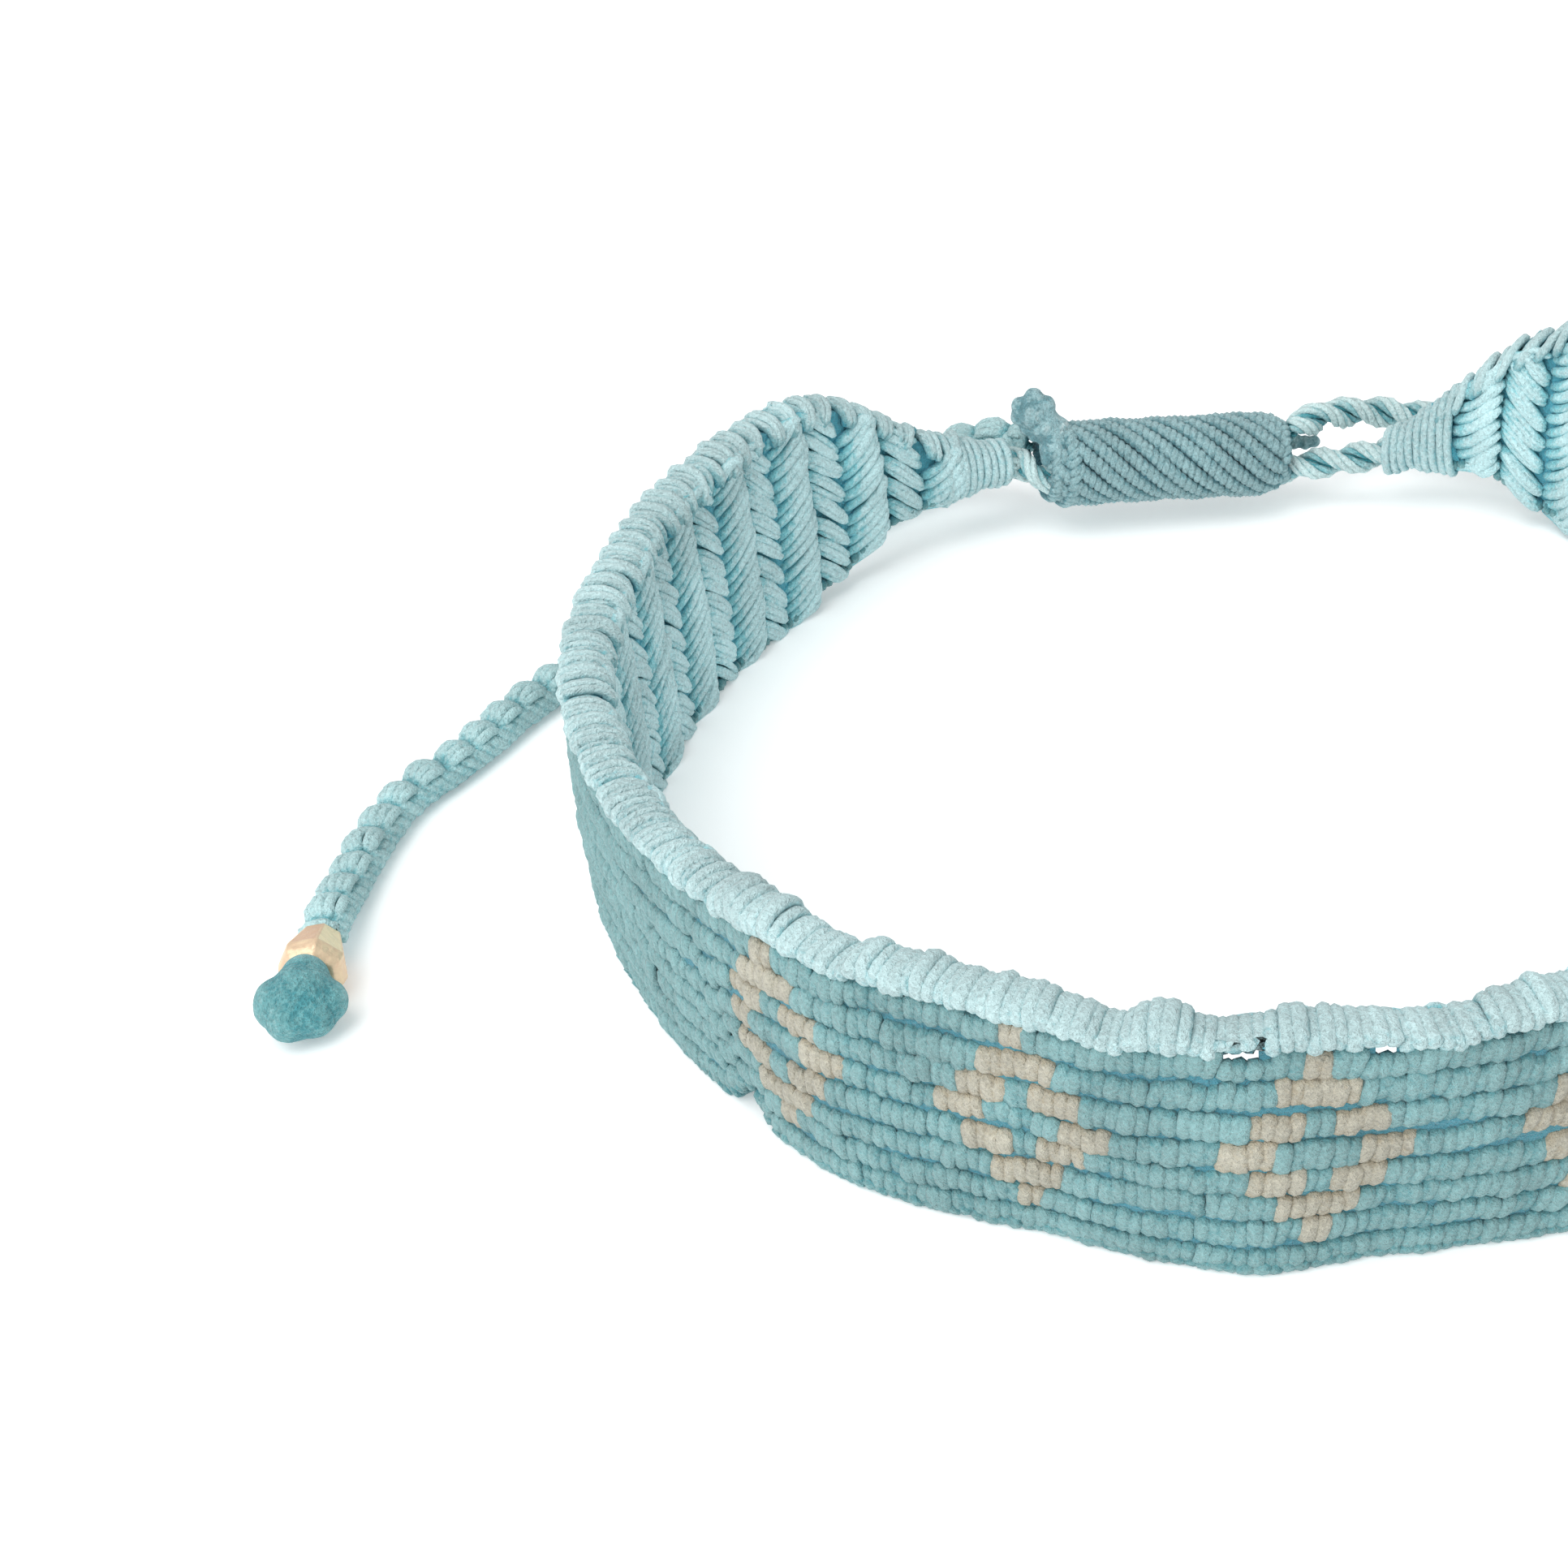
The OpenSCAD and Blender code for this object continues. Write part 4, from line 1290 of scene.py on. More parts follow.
@dataclass
class RolledRim:
    """Threads that turn over an edge of the band side by side, gathered over each ridge like the ribs of a shell."""

    name: str
    upper: bool
    spacing: float
    wide: float
    high: float
    seed: int
    over: tuple
    gather: float = 0.2
    even: tuple = ((-66, 0), (-50, 1), (60, 1), (80, 0))

    def build(self, finish: bpy.types.Material) -> bpy.types.Object:
        """Lays the threads over the edge and joins them.

        Args:
            finish: the material.

        Returns:
            The piece.
        """
        rng = np.random.default_rng(self.seed)
        step = RING.turn(self.spacing)
        start = np.arange(RING.left_mouth - 0.5, RING.right_mouth + 0.5, step)[:, None]
        count = len(start)
        table = np.array(self.over)
        share = np.linspace(0, 1, len(table))
        ridge = (start - RING.ridge_at) / RING.ridge_step
        off = (ridge - np.round(ridge)) * RING.ridge_step
        lumps = 0.5 + 0.5 * np.cos(2 * math.pi * (ridge * 4 + 0.3 * np.sin(1.3 * ridge)))
        if self.upper:
            wild = 1 - self.calm(start)
            nth = (np.arange(count) % 3 - 1)[:, None]
            drawn = self.gather * np.clip(2.2 * share - 1.2, 0, 1) * wild
            bow = (0.5 * share - 1.3 * np.sin(math.pi * share) - 0.45 * nth * share) * wild
            grow = 0.07 * lumps - 0.13 * nth * wild + rng.normal(0, 0.035 + 0.02 * wild, (count, 1))
        else:
            drawn, bow, grow = 0.0, 0.25 * share, rng.normal(0, 0.03, (count, 1))
        lean = rng.normal(0, 0.12, (count, 1)) * (share - 0.4)
        a = start - off * drawn + step * (bow + lean) + rng.normal(0, 0.06 * step, (count, 1))
        proud = RING.proud(a) if self.upper else np.zeros_like(a)
        hold = np.where(proud < 0, np.maximum(table[:, 3], 0.6), table[:, 3])
        edge = RING.upper(a) if self.upper else RING.lower(a)
        sign = 1.0 if self.upper else -1.0
        droop = rng.normal(0, 0.08, (count, 1)) * (share < 0.3)
        z = edge + sign * (table[:, 1] + proud * hold + grow * table[:, 3]) + droop
        for eyelet in EYELETS if self.upper else ():
            short = np.maximum(eyelet.height + EYELET_HALF - z[:, :1], 0) * np.clip(1 - 2.5 * share, 0, 1)
            z = np.where(eyelet.beside(a[:, :1], 0.25), z + short, z)
        z_face = np.clip(z, RING.lower(a) + 0.1, RING.upper(a) - 0.1)
        outer, inner = RING.face_r(Face.OUTER, a, z_face), RING.face_r(Face.INNER, a, z_face)
        facing = 1 - 2 * table[:, 0]
        r = mix(outer, inner, table[:, 0]) + table[:, 2] + facing * grow * (1 - 0.5 * table[:, 3])
        tilt = math.pi * (share - 0.5)
        away = unit(np.sin(-tilt)[None, :, None] * RING.outward(a) + sign * np.cos(tilt)[None, :, None] * UP)
        # This lift only sets colour: painted shade where each thread tucks under at its ends and on the lower outer
        # roll, painted light over the top and on the higher threads of each group.
        lift = np.interp(share, [0, 0.12, 0.5, 0.8, 1], [-0.4, -0.02, 0.14, 0.02, -0.5]) + grow
        points = RING.at(a, r, np.maximum(z, self.high * 0.9))
        wide = self.wide * (1 + 0.55 * self.calm(start[:, 0])) * np.exp(rng.normal(0, 0.08, count))
        batch = ThreadStock(8, 13).lay(points, away, wide, self.high, lift,
                                       rng.uniform(0.2, 0.85, count), cap=0.14, reach=(-0.3, 0.34))
        return settle(join(self.name, [batch], finish), "band", "woven_band")

    def calm(self, a: np.ndarray) -> np.ndarray:
        """How even the rim is at an angle: gathered at the sides and back, and straight in front."""
        return np.interp(a, *np.array(self.even).T)


# Closure, cords and tails.


@dataclass
class ClosureForm:
    """The sliding knot's axis and the cords' runs, as the part's source has them."""

    knot_len: float = 12.4
    knot_d: float = 4.8
    knot_lead: float = 2.3
    knot_left_z: float = 3.9
    knot_right_z: float = 3.4
    knot_swing: float = 0.7
    fit_gap: float = 0.1
    pass_turn: tuple = (-25.0, 90.0)
    right_route: tuple = (
        (9.8, 24.9, 4.4), (11.3, 25.6, 4.5), (13, 26.2, 4.3), (15.3, 26.1, 4), (17.6, 25, 3.8),
        (20, 23.5, 3.4), (22, 21.8, 2.7), (24, 20, 2), (26, 18, 1.3), (28.2, 15.5, 0.9), (30.6, 12.6, 0.9),
        (33.6, 8.3, 0.9), (35.4, 5.6, 0.9), (36.6, 2.6, 0.9), (37.3, 0.4, 0.9), (37.9, -1.6, 0.9),
        (38.5, -3.4, 0.9), (39, -5, 0.9), (39.4, -6.8, 0.9), (39.6, -8.6, 0.9), (39.6, -10.4, 0.9),
        (39.5, -12.3, 1), (39.3, -14.2, 1.2), (39.1, -15.5, 1.5), (38.9, -16.8, 1.5))
    left_route: tuple = (
        (-3.5, 28.5, 4.4), (-4.6, 29.5, 4.3), (-6.2, 30.5, 3.9), (-8.2, 31, 3.2), (-10.6, 30.7, 2.4),
        (-13.4, 29.4, 1.6), (-17.5, 26.9, 1), (-22.7, 23.7, 0.9), (-28, 20.1, 0.9), (-30.5, 18.2, 0.9),
        (-32.9, 16, 0.9), (-34.2, 14.5, 0.9), (-35.4, 13.2, 0.9), (-36.6, 12, 0.9), (-37.9, 10.9, 0.9),
        (-39.1, 9.5, 0.9), (-40, 7.7, 0.9), (-40.8, 5.8, 0.9), (-41.4, 3.9, 1), (-41.9, 2.2, 1.2),
        (-42.2, 0.8, 1.5), (-42.5, -0.7, 1.5))
    start: np.ndarray = field(init=False)
    along: np.ndarray = field(init=False)
    inward: np.ndarray = field(init=False)
    upward: np.ndarray = field(init=False)

    def __post_init__(self) -> None:
        """Works out the knot's axis between the tips of the whippings."""
        left = RING.at(np.array(RING.left_tip), RING.path_r(np.array(RING.left_tip)), RING.left_tip_z)
        right = RING.at(np.array(RING.right_tip), RING.path_r(np.array(RING.right_tip)), RING.right_tip_z)
        flat = unit((right - left) * [1, 1, 0])
        out = np.array([-flat[1], flat[0], 0])
        self.start = (left + self.knot_lead * flat) * [1, 1, 0] + UP * self.knot_left_z
        aim = (left + (self.knot_lead + self.knot_len) * flat + self.knot_swing * out) * [1, 1, 0]
        self.along = unit(aim + UP * self.knot_right_z - self.start)
        self.inward = unit(np.cross(self.along, UP))
        self.upward = np.cross(self.inward, self.along)

    def inside(self, share: float, hand: float) -> np.ndarray:
        """Where a cord is inside the knot, at a share of its length.

        Args:
            share: how far along the knot.
            hand: 1 for the left cord, -1 for the right one.

        Returns:
            The point, in millimetres.
        """
        t = math.radians(mix(self.pass_turn[0], self.pass_turn[1], share))
        spacing = RING.cord_d + 2 * self.fit_gap
        return (self.start + share * self.knot_len * self.along
                + hand * spacing / 2 * (math.cos(t) * self.inward + math.sin(t) * self.upward))

    def held(self, side: Side) -> np.ndarray:
        """The held stretch of a cord, from inside its whipping to the far face of the knot.

        Args:
            side: whose cord it is.

        Returns:
            The cord's points, in millimetres.
        """
        mouth, tip = RING.ends(side)
        first = mix(mouth, tip, 0.74)
        ends = [RING.at(np.array(a), RING.path_r(np.array(a)), RING.hold(np.array(a))[0]) for a in (first, tip)]
        shares = [0, 0.2, 0.4, 0.6, 0.8, 1]
        if side is Side.RIGHT:
            shares.reverse()
        within = [self.inside(s, side.hand) for s in shares]
        return np.array(ends + [ends[1] + 0.4 * unit(ends[1] - ends[0])] + within)

    def route(self, side: Side) -> np.ndarray:
        """The free route of a side's tail, in millimetres in the shared frame."""
        return RING_MID + np.array(self.left_route if side is Side.LEFT else self.right_route)


CLOSURE = ClosureForm()


def resample(points: np.ndarray, step: float) -> np.ndarray:
    """A smooth run through points, at about even steps of its length.

    Args:
        points: the points.
        step: the length of a step.

    Returns:
        The points of the run.
    """
    fine = spline_weights(len(points), np.linspace(0, 1, 40 * len(points))) @ points
    length = np.concatenate([[0], np.cumsum(np.linalg.norm(np.diff(fine, axis=0), axis=1))])
    at = np.linspace(0, length[-1], max(4, round(length[-1] / step) + 1))
    return np.stack([np.interp(at, length, fine[:, i]) for i in range(3)], axis=1)


class RunFrame:
    """A cord's middle line with its sideways and upward directions, read by length along it."""

    def __init__(self, points: np.ndarray) -> None:
        """Measures the line.

        Args:
            points: the points that the line runs through, in millimetres.
        """
        self.line = resample(points, 0.1)
        self.ahead = unit(np.gradient(self.line, axis=0))
        self.side = unit(np.cross(self.ahead, UP))
        self.top = np.cross(self.side, self.ahead)
        step = np.linalg.norm(np.diff(self.line, axis=0), axis=1)
        self.at = np.concatenate([[0], np.cumsum(step)])
        self.length = float(self.at[-1])

    def place(self, s: np.ndarray, turn: np.ndarray, r: np.ndarray) -> tuple[np.ndarray, np.ndarray]:
        """Points and outward directions round the line.

        Args:
            s: lengths along the line.
            turn: turns from the top toward the right-hand side, in degrees.
            r: distances from the line.

        Returns:
            The points, and the directions away from the line.
        """
        def read(table: np.ndarray) -> np.ndarray:
            """A table's values at the lengths."""
            return np.stack([np.interp(s, self.at, table[:, i]) for i in range(3)], axis=-1)

        t = np.radians(turn)
        away = unit(np.sin(t)[..., None] * read(self.side) + np.cos(t)[..., None] * read(self.top))
        return read(self.line) + away * np.asarray(r)[..., None], away


@dataclass
class Braid:
    """A braided cord: plump petals down one side, short leaves down the other, over a core."""

    name: str
    points: np.ndarray
    width: float = 1.75
    petal: float = 1.9
    seed: int = 3
    petal_run: tuple = ((0, 0, -0.34), (0.16, 0.5, 0.0), (0.36, 0.92, 0.27), (0.6, 1.0, 0.3), (0.82, 0.86, 0.06),
                        (1.0, 0.66, -0.4))
    petal_turns: tuple = (-36, -12, 12, 38, 66, 98, 134)
    petal_half: float = 0.27
    leaf_half: float = 0.33
    core_share: float = 0.84
    root: float = -50.0
    leaf_run: tuple = ((-26, 0.95, -0.36), (-48, 0.6, 0.02), (-76, 0.15, 0.1), (-108, -0.4, 0.06),
                       (-146, -0.9, -0.02), (-190, -1.3, -0.3))

    def build(self, finishes: Finishes) -> bpy.types.Object:
        """Lays the core, the petals' strands and the leaves.

        Args:
            finishes: the materials.

        Returns:
            The piece.
        """
        rng = np.random.default_rng(self.seed)
        run = RunFrame(self.points)
        radius = self.width / 2
        core_s = np.linspace(0.05, run.length - 0.05, max(8, int(run.length / 0.6)))
        core, _ = run.place(core_s, np.zeros_like(core_s), np.zeros_like(core_s))
        core_r = radius * self.core_share
        batches = [ThreadStock(8, len(core_s) * 2).lay(
            core[None], np.broadcast_to(UP, core.shape)[None], core_r, core_r,
            np.full((1, len(core_s)), -0.3), np.array([0.4]), cap=0.02, reach=(-0.45, 0.3))]
        petals, leaves = [], []
        s0 = -0.8
        while s0 < run.length - 0.3:
            tint, plump = rng.uniform(0.3, 0.7), rng.normal(0, 0.02)
            for turn in self.petal_turns:
                petals.append((s0 + rng.normal(0, 0.04), turn + rng.normal(0, 2.0), tint + rng.uniform(-0.25, 0.25),
                               plump + rng.normal(0, 0.015)))
            for j in (-1, 0, 1):
                leaves.append((s0 + j * self.petal / 3, 0, tint + rng.uniform(-0.25, 0.25), rng.normal(0, 0.03)))
            s0 += self.petal * rng.normal(1, 0.02)
        stock = ThreadStock(6, 9)
        kind = np.array(self.petal_run)
        data = np.array(petals)
        s = data[:, :1] + self.petal * 1.12 * kind[:, 0]
        turn = self.root + (data[:, 1:2] - self.root) * kind[:, 1]
        batches.append(self._strands(run, stock, data, s, turn, kind[:, 2], radius, self.petal_half))
        kind, data = np.array(self.leaf_run), np.array(leaves)
        s = data[:, :1] + kind[:, 1]
        turn = np.broadcast_to(kind[:, 0], s.shape)
        batches.append(self._strands(run, stock, data, s, turn, kind[:, 2], radius, self.leaf_half))
        return join(self.name, batches, finishes.braid)

    def _strands(self, run: RunFrame, stock: ThreadStock, data: np.ndarray, s: np.ndarray, turn: np.ndarray,
                 high: np.ndarray, radius: float, half: float) -> Strands:
        """Lays one kind of strand at every place in a table.

        Args:
            run: the cord's middle line.
            stock: the thread.
            data: columns of place, turn, tint and unevenness.
            s: lengths along the cord at each control point.
            turn: turns round it.
            high: heights over its surface.
            radius: the cord's radius.
            half: the thread's half width.

        Returns:
            The strands.
        """
        s = np.clip(s, 0.05, run.length - 0.05)
        high = high + data[:, 3:4]
        points, away = run.place(s, turn, radius - 0.14 + high)
        points[..., 2] = np.maximum(points[..., 2], 0.22)
        return stock.lay(points, away, half, 0.22, high, data[:, 2], cap=0.22, reach=(-0.3, 0.4))


@dataclass
class TwoPly:
    """A tie cord of two plies laid round each other, each of a few strands."""

    name: str
    points: np.ndarray
    width: float = 1.75
    pitch: float = 4.2
    strands: int = 5
    half: float = 0.2
    seed: int = 12

    def build(self, finishes: Finishes) -> bpy.types.Object:
        """Lays the strands of both plies.

        Args:
            finishes: the materials.

        Returns:
            The piece.
        """
        rng = np.random.default_rng(self.seed)
        run = RunFrame(self.points)
        steps = int(run.length / 0.12)
        s = np.linspace(0.02, run.length - 0.02, steps)
        ply_r = self.width / 4 - 0.01
        strand_r = ply_r - self.half * 0.8
        lines, aways, lifts = [], [], []
        for ply in (0.0, 180.0):
            turn = ply + 360 * s / self.pitch
            centre, away = run.place(s, turn, np.full(steps, ply_r))
            across = unit(np.cross(away, unit(np.gradient(centre, axis=0))))
            for j in range(self.strands):
                t = 2 * math.pi * (j / self.strands - s / 9)
                out = np.cos(t)[:, None] * away + np.sin(t)[:, None] * across
                line = centre + strand_r * out
                line[:, 2] = np.maximum(line[:, 2], self.half)
                lines.append(line)
                aways.append(out)
                # Painted shade: each strand is coloured darker where it turns in toward the other ply and lighter
                # where it faces out; this lift moves nothing.
                lifts.append(strand_r * np.cos(t) * 1.6)
        tints = rng.uniform(0.25, 0.75, len(lines))
        batch = ThreadStock(6, steps).lay(np.array(lines), np.array(aways), self.half, self.half, np.array(lifts),
                                          tints, cap=0.01, reach=(-0.3, 0.4))
        return join(self.name, [batch], finishes.cord)


@dataclass
class Tail:
    """A free tail, braided at the left and twisted at the right."""

    side: Side
    width: float = 1.75

    def build(self, finishes: Finishes) -> bpy.types.Object:
        """Args:
            finishes: the materials.

        Returns:
            The piece.
        """
        points = CLOSURE.route(self.side)
        kind = Braid if self.side is Side.LEFT else TwoPly
        piece = kind(f"tail_cord_{self.side}", points, self.width).build(finishes)
        settle(piece, "cord", f"tail_{self.side}")
        return piece

    def declare(self) -> None:
        points = resample(CLOSURE.route(self.side), 0.5)


@dataclass
class Whipping:
    """Thread wound round a tapered end."""

    side: Side
    thread: float = 0.21
    turns: int = 9
    first: float = -0.14
    span: float = 1.12
    skin: float = 0.12
    seed: int = 21

    def build(self, finishes: Finishes) -> bpy.types.Object:
        """Winds one thread from the mouth to the tip.

        Args:
            finishes: the materials.

        Returns:
            The piece.
        """
        rng = np.random.default_rng(self.seed)
        mouth, tip = RING.ends(self.side)
        steps = 20 * self.turns + 1
        t = np.linspace(0, 1, steps)
        a = mix(mouth, tip, self.first + self.span * t)
        turn = 2 * math.pi * self.turns * t
        mid, half_z, half_r = RING.hold(a)
        wobble = 0.05 * np.sin(1.7 * turn + 0.4) + rng.normal(0, 0.01, steps)
        margin = 0.1 + self.thread * 0.8 + wobble
        slant = 0.5 * np.sin(turn) * (tip - mouth) / self.turns
        r = RING.path_r(a) + (half_r + margin) * np.cos(turn)
        z = mid + (half_z + margin) * np.sin(turn)
        points = RING.at(a + slant, r, z)
        away = unit(np.cos(turn)[:, None] * RING.outward(a) + np.sin(turn)[:, None] * UP)
        lift = np.full((1, steps), 0.05)
        batch = ThreadStock(7, steps * 2).lay(points[None], away[None], self.thread * 1.08, self.thread, lift,
                                              np.array([0.6]), cap=0.004, reach=(-0.25, 0.3))
        sleeve = self._core(mouth, tip)
        return settle(join(f"whipping_{self.side}_thread", [batch, sleeve], finishes.rim), "cord",
                      f"whipping_{self.side}")

    def _core(self, mouth: float, tip: float) -> Strands:
        """The bundle under the winding, so that no gap shows through it.

        Args:
            mouth: the angle where the winding starts.
            tip: the angle where it ends.

        Returns:
            The bundle.
        """
        a = np.linspace(mix(mouth, tip, -0.05), mix(mouth, tip, 0.97), 9)
        mid, half_z, half_r = RING.hold(a)
        points = RING.at(a, RING.path_r(a), mid)
        stock = ThreadStock(16, 16)
        batch = stock.lay(points[None], RING.outward(a)[None], 1.0, 1.0, np.full((1, 9), -0.5),
                          np.array([0.3]), cap=0.1)
        k = stock.ring
        share = np.linspace(0, 1, stock.spans + 1)
        zs, rs = np.interp(share, np.linspace(0, 1, 9), half_z), np.interp(share, np.linspace(0, 1, 9), half_r)
        line = spline_weights(9, share) @ points
        away = unit(spline_weights(9, share) @ RING.outward(a))
        off = batch.co / MM - line[k]
        radial = (off * away[k]).sum(1, keepdims=True) * away[k]
        rest = off - radial
        batch.co = (line[k] + radial * (rs[k] + self.skin)[:, None] + rest * (zs[k] + self.skin)[:, None]) * MM
        return batch


@dataclass
class SlidingKnot:
    """The sliding knot: twisted threads in slanting turns, and threads that curl round its ends."""

    ribs: int = 12
    twist: float = 338.0
    ply_at: float = 0.18
    ply_half: float = 0.235
    lay: float = 0.8
    core_r: float = 1.88
    hoops: tuple = ((0.0, 0.035, 0.86), (0.055, 0.05, 1.0))
    seed: int = 8
    shape: tuple = ((0, 0.74), (0.05, 0.94), (0.12, 1), (0.5, 0.97), (0.9, 0.98), (0.96, 0.9), (1, 0.72))
    upper_end: tuple = ((0.75, 0.1, 1.4, 0.9), (0.2, 0.55, 1.15, 0.85), (0.0, 0.75, 0.8, 0.62), (0.2, 0.0, 2.0, 0.95),
                        (-0.3, 0.0, 2.5, 0.95), (-0.75, -0.1, 3.1, 0.98), (-0.8, -0.1, 3.95, 0.62),
                        (-1.45, -0.15, 3.45, 0.62), (-1.5, -0.15, 2.95, 0.6), (-1.1, -0.1, 2.3, 0.55),
                        (-0.75, 0.0, 1.9, 0.5), (-0.2, -0.1, 3.5, 0.62))
    lower_end: tuple = ((-0.5, -1.3, 0.0, 0.5), (0.2, -1.35, -0.05, 0.5), (0.9, -1.35, -0.15, 0.45),
                        (1.5, -1.35, -0.25, 0.42), (1.95, -1.35, -0.2, 0.36))

    def build(self, finishes: Finishes) -> list[bpy.types.Object]:
        """Lays the turns, each of two plies, over a core, and models the two cut ends.

        Args:
            finishes: the materials.

        Returns:
            The pieces.
        """
        rng = np.random.default_rng(self.seed)
        shape = np.array(self.shape)
        share = np.linspace(0.0, 1.0, 141)
        half_d = CLOSURE.knot_d / 2 * np.interp(share, shape[:, 0], shape[:, 1])
        runs = []
        for rib in range(self.ribs):
            turn = 360 * rib / self.ribs - self.twist * share + 1.2 * np.sin(7 * share + 2 * rib)
            radius = half_d - self.ply_at - self.ply_half + 0.04 * np.sin(9 * share + 1.7 * rib)
            runs.append(self._round(share, turn, radius))
        batches = [self._two_ply(runs, 280, 0.008, rng), self._core()]
        hoops = []
        for at, tilt, size in self.hoops:
            turn = np.linspace(-230, 140, 121)
            wave = at + tilt * np.sin(np.radians(turn + 70))
            hoops.append(self._round(wave, turn, np.full(121, size * CLOSURE.knot_d / 2 - 0.36)))
        hoops.append(self._round(np.full(121, 1.0), np.linspace(0, 350, 121),
                                 np.full(121, 0.66 * CLOSURE.knot_d / 2 - 0.2)))
        batches.append(self._two_ply(hoops, 170, 0.03, rng))
        turns = settle(join("sliding_knot_turns", batches, finishes.knot), "knot", "sliding_knot")
        return [turns] + self._cut_ends(finishes)

    def _two_ply(self, runs: list, spans: int, cap: float, rng: np.random.Generator) -> Strands:
        """Lays two plies, wound on each other, along each run.

        Args:
            runs: points and outward directions of each run.
            spans: faces along a ply.
            cap: share over which an end is rounded.
            rng: the source of its unevenness.

        Returns:
            The plies.
        """
        lines, aways, lifts = [], [], []
        for centre, away in runs:
            side = unit(np.cross(away, unit(np.gradient(centre, axis=0))))
            length = np.concatenate([[0], np.cumsum(np.linalg.norm(np.diff(centre, axis=0), axis=1))])
            start = rng.uniform(0, 2 * math.pi)
            slip = 0.5 * np.sin(0.9 * length + start)
            for ply in (0, math.pi):
                t = start + ply - 2 * math.pi * length / self.lay + slip
                lines.append(centre + self.ply_at * (0.72 * np.cos(t)[:, None] * away + np.sin(t)[:, None] * side))
                aways.append(away)
                # Painted shade: each ply is coloured darker where it turns in under the other and lighter where it
                # faces out; this lift moves nothing.
                lifts.append(self.ply_at * np.cos(t))
        return ThreadStock(7, spans).lay(np.array(lines), np.array(aways), self.ply_half, self.ply_half,
                                         np.array(lifts), rng.uniform(0.3, 0.7, len(lines)), cap=cap,
                                         reach=(-0.2, 0.42), swell=(0.05, 0.43))

    def _round(self, share: np.ndarray, turn: np.ndarray, radius: np.ndarray) -> tuple[np.ndarray, np.ndarray]:
        """Points and outward directions round the knot's axis.

        Args:
            share: how far along the knot.
            turn: turns round its axis, in degrees.
            radius: distances from it.

        Returns:
            The points and the directions.
        """
        t = np.radians(turn)
        away = np.cos(t)[:, None] * CLOSURE.inward + np.sin(t)[:, None] * CLOSURE.upward
        along = CLOSURE.start + (share * CLOSURE.knot_len)[:, None] * CLOSURE.along
        return along + away * np.asarray(radius)[:, None], away

    def _core(self) -> Strands:
        """The inside, seen between the turns.

        Returns:
            The core.
        """
        share = np.linspace(-0.01, 0.99, 9)
        points = CLOSURE.start + (share * CLOSURE.knot_len)[:, None] * CLOSURE.along
        away = np.broadcast_to(CLOSURE.upward, points.shape)
        # Painted shade and light: the core's top takes the crest colour, its sides and underside the dark groove
        # colour, for the shade inside the knot between its turns.
        return ThreadStock(20, 24).lay(points[None], away[None], self.core_r, self.core_r, np.full((1, 9), -1.5),
                                       np.array([0.3]), cap=0.06, reach=(-0.3, 0.4))

    def _cut_ends(self, finishes: Finishes) -> list[bpy.types.Object]:
        """The chunky cut end at the upper left, and the thin one between the cords at the right.

        Args:
            finishes: the materials.

        Returns:
            The two pieces.
        """
        def spot(v: tuple, at: np.ndarray) -> np.ndarray:
            """A point from a start, by steps along, inward and up."""
            return at + v[0] * CLOSURE.along + v[1] * CLOSURE.inward + v[2] * CLOSURE.upward

        upper = tuple((*spot(v[:3], CLOSURE.start), v[3]) for v in self.upper_end)
        right = CLOSURE.start + CLOSURE.knot_len * CLOSURE.along
        lower = tuple((*spot(v[:3], right), v[3]) for v in self.lower_end)
        lumps = (FeltLump("cut_end_upper", upper, softness=5, seed=9),
                 FeltLump("cut_end_lower", lower, voxel=0.09, seed=10))
        return [settle(lump.build(finishes.stub), "knot", "sliding_knot") for lump in lumps]


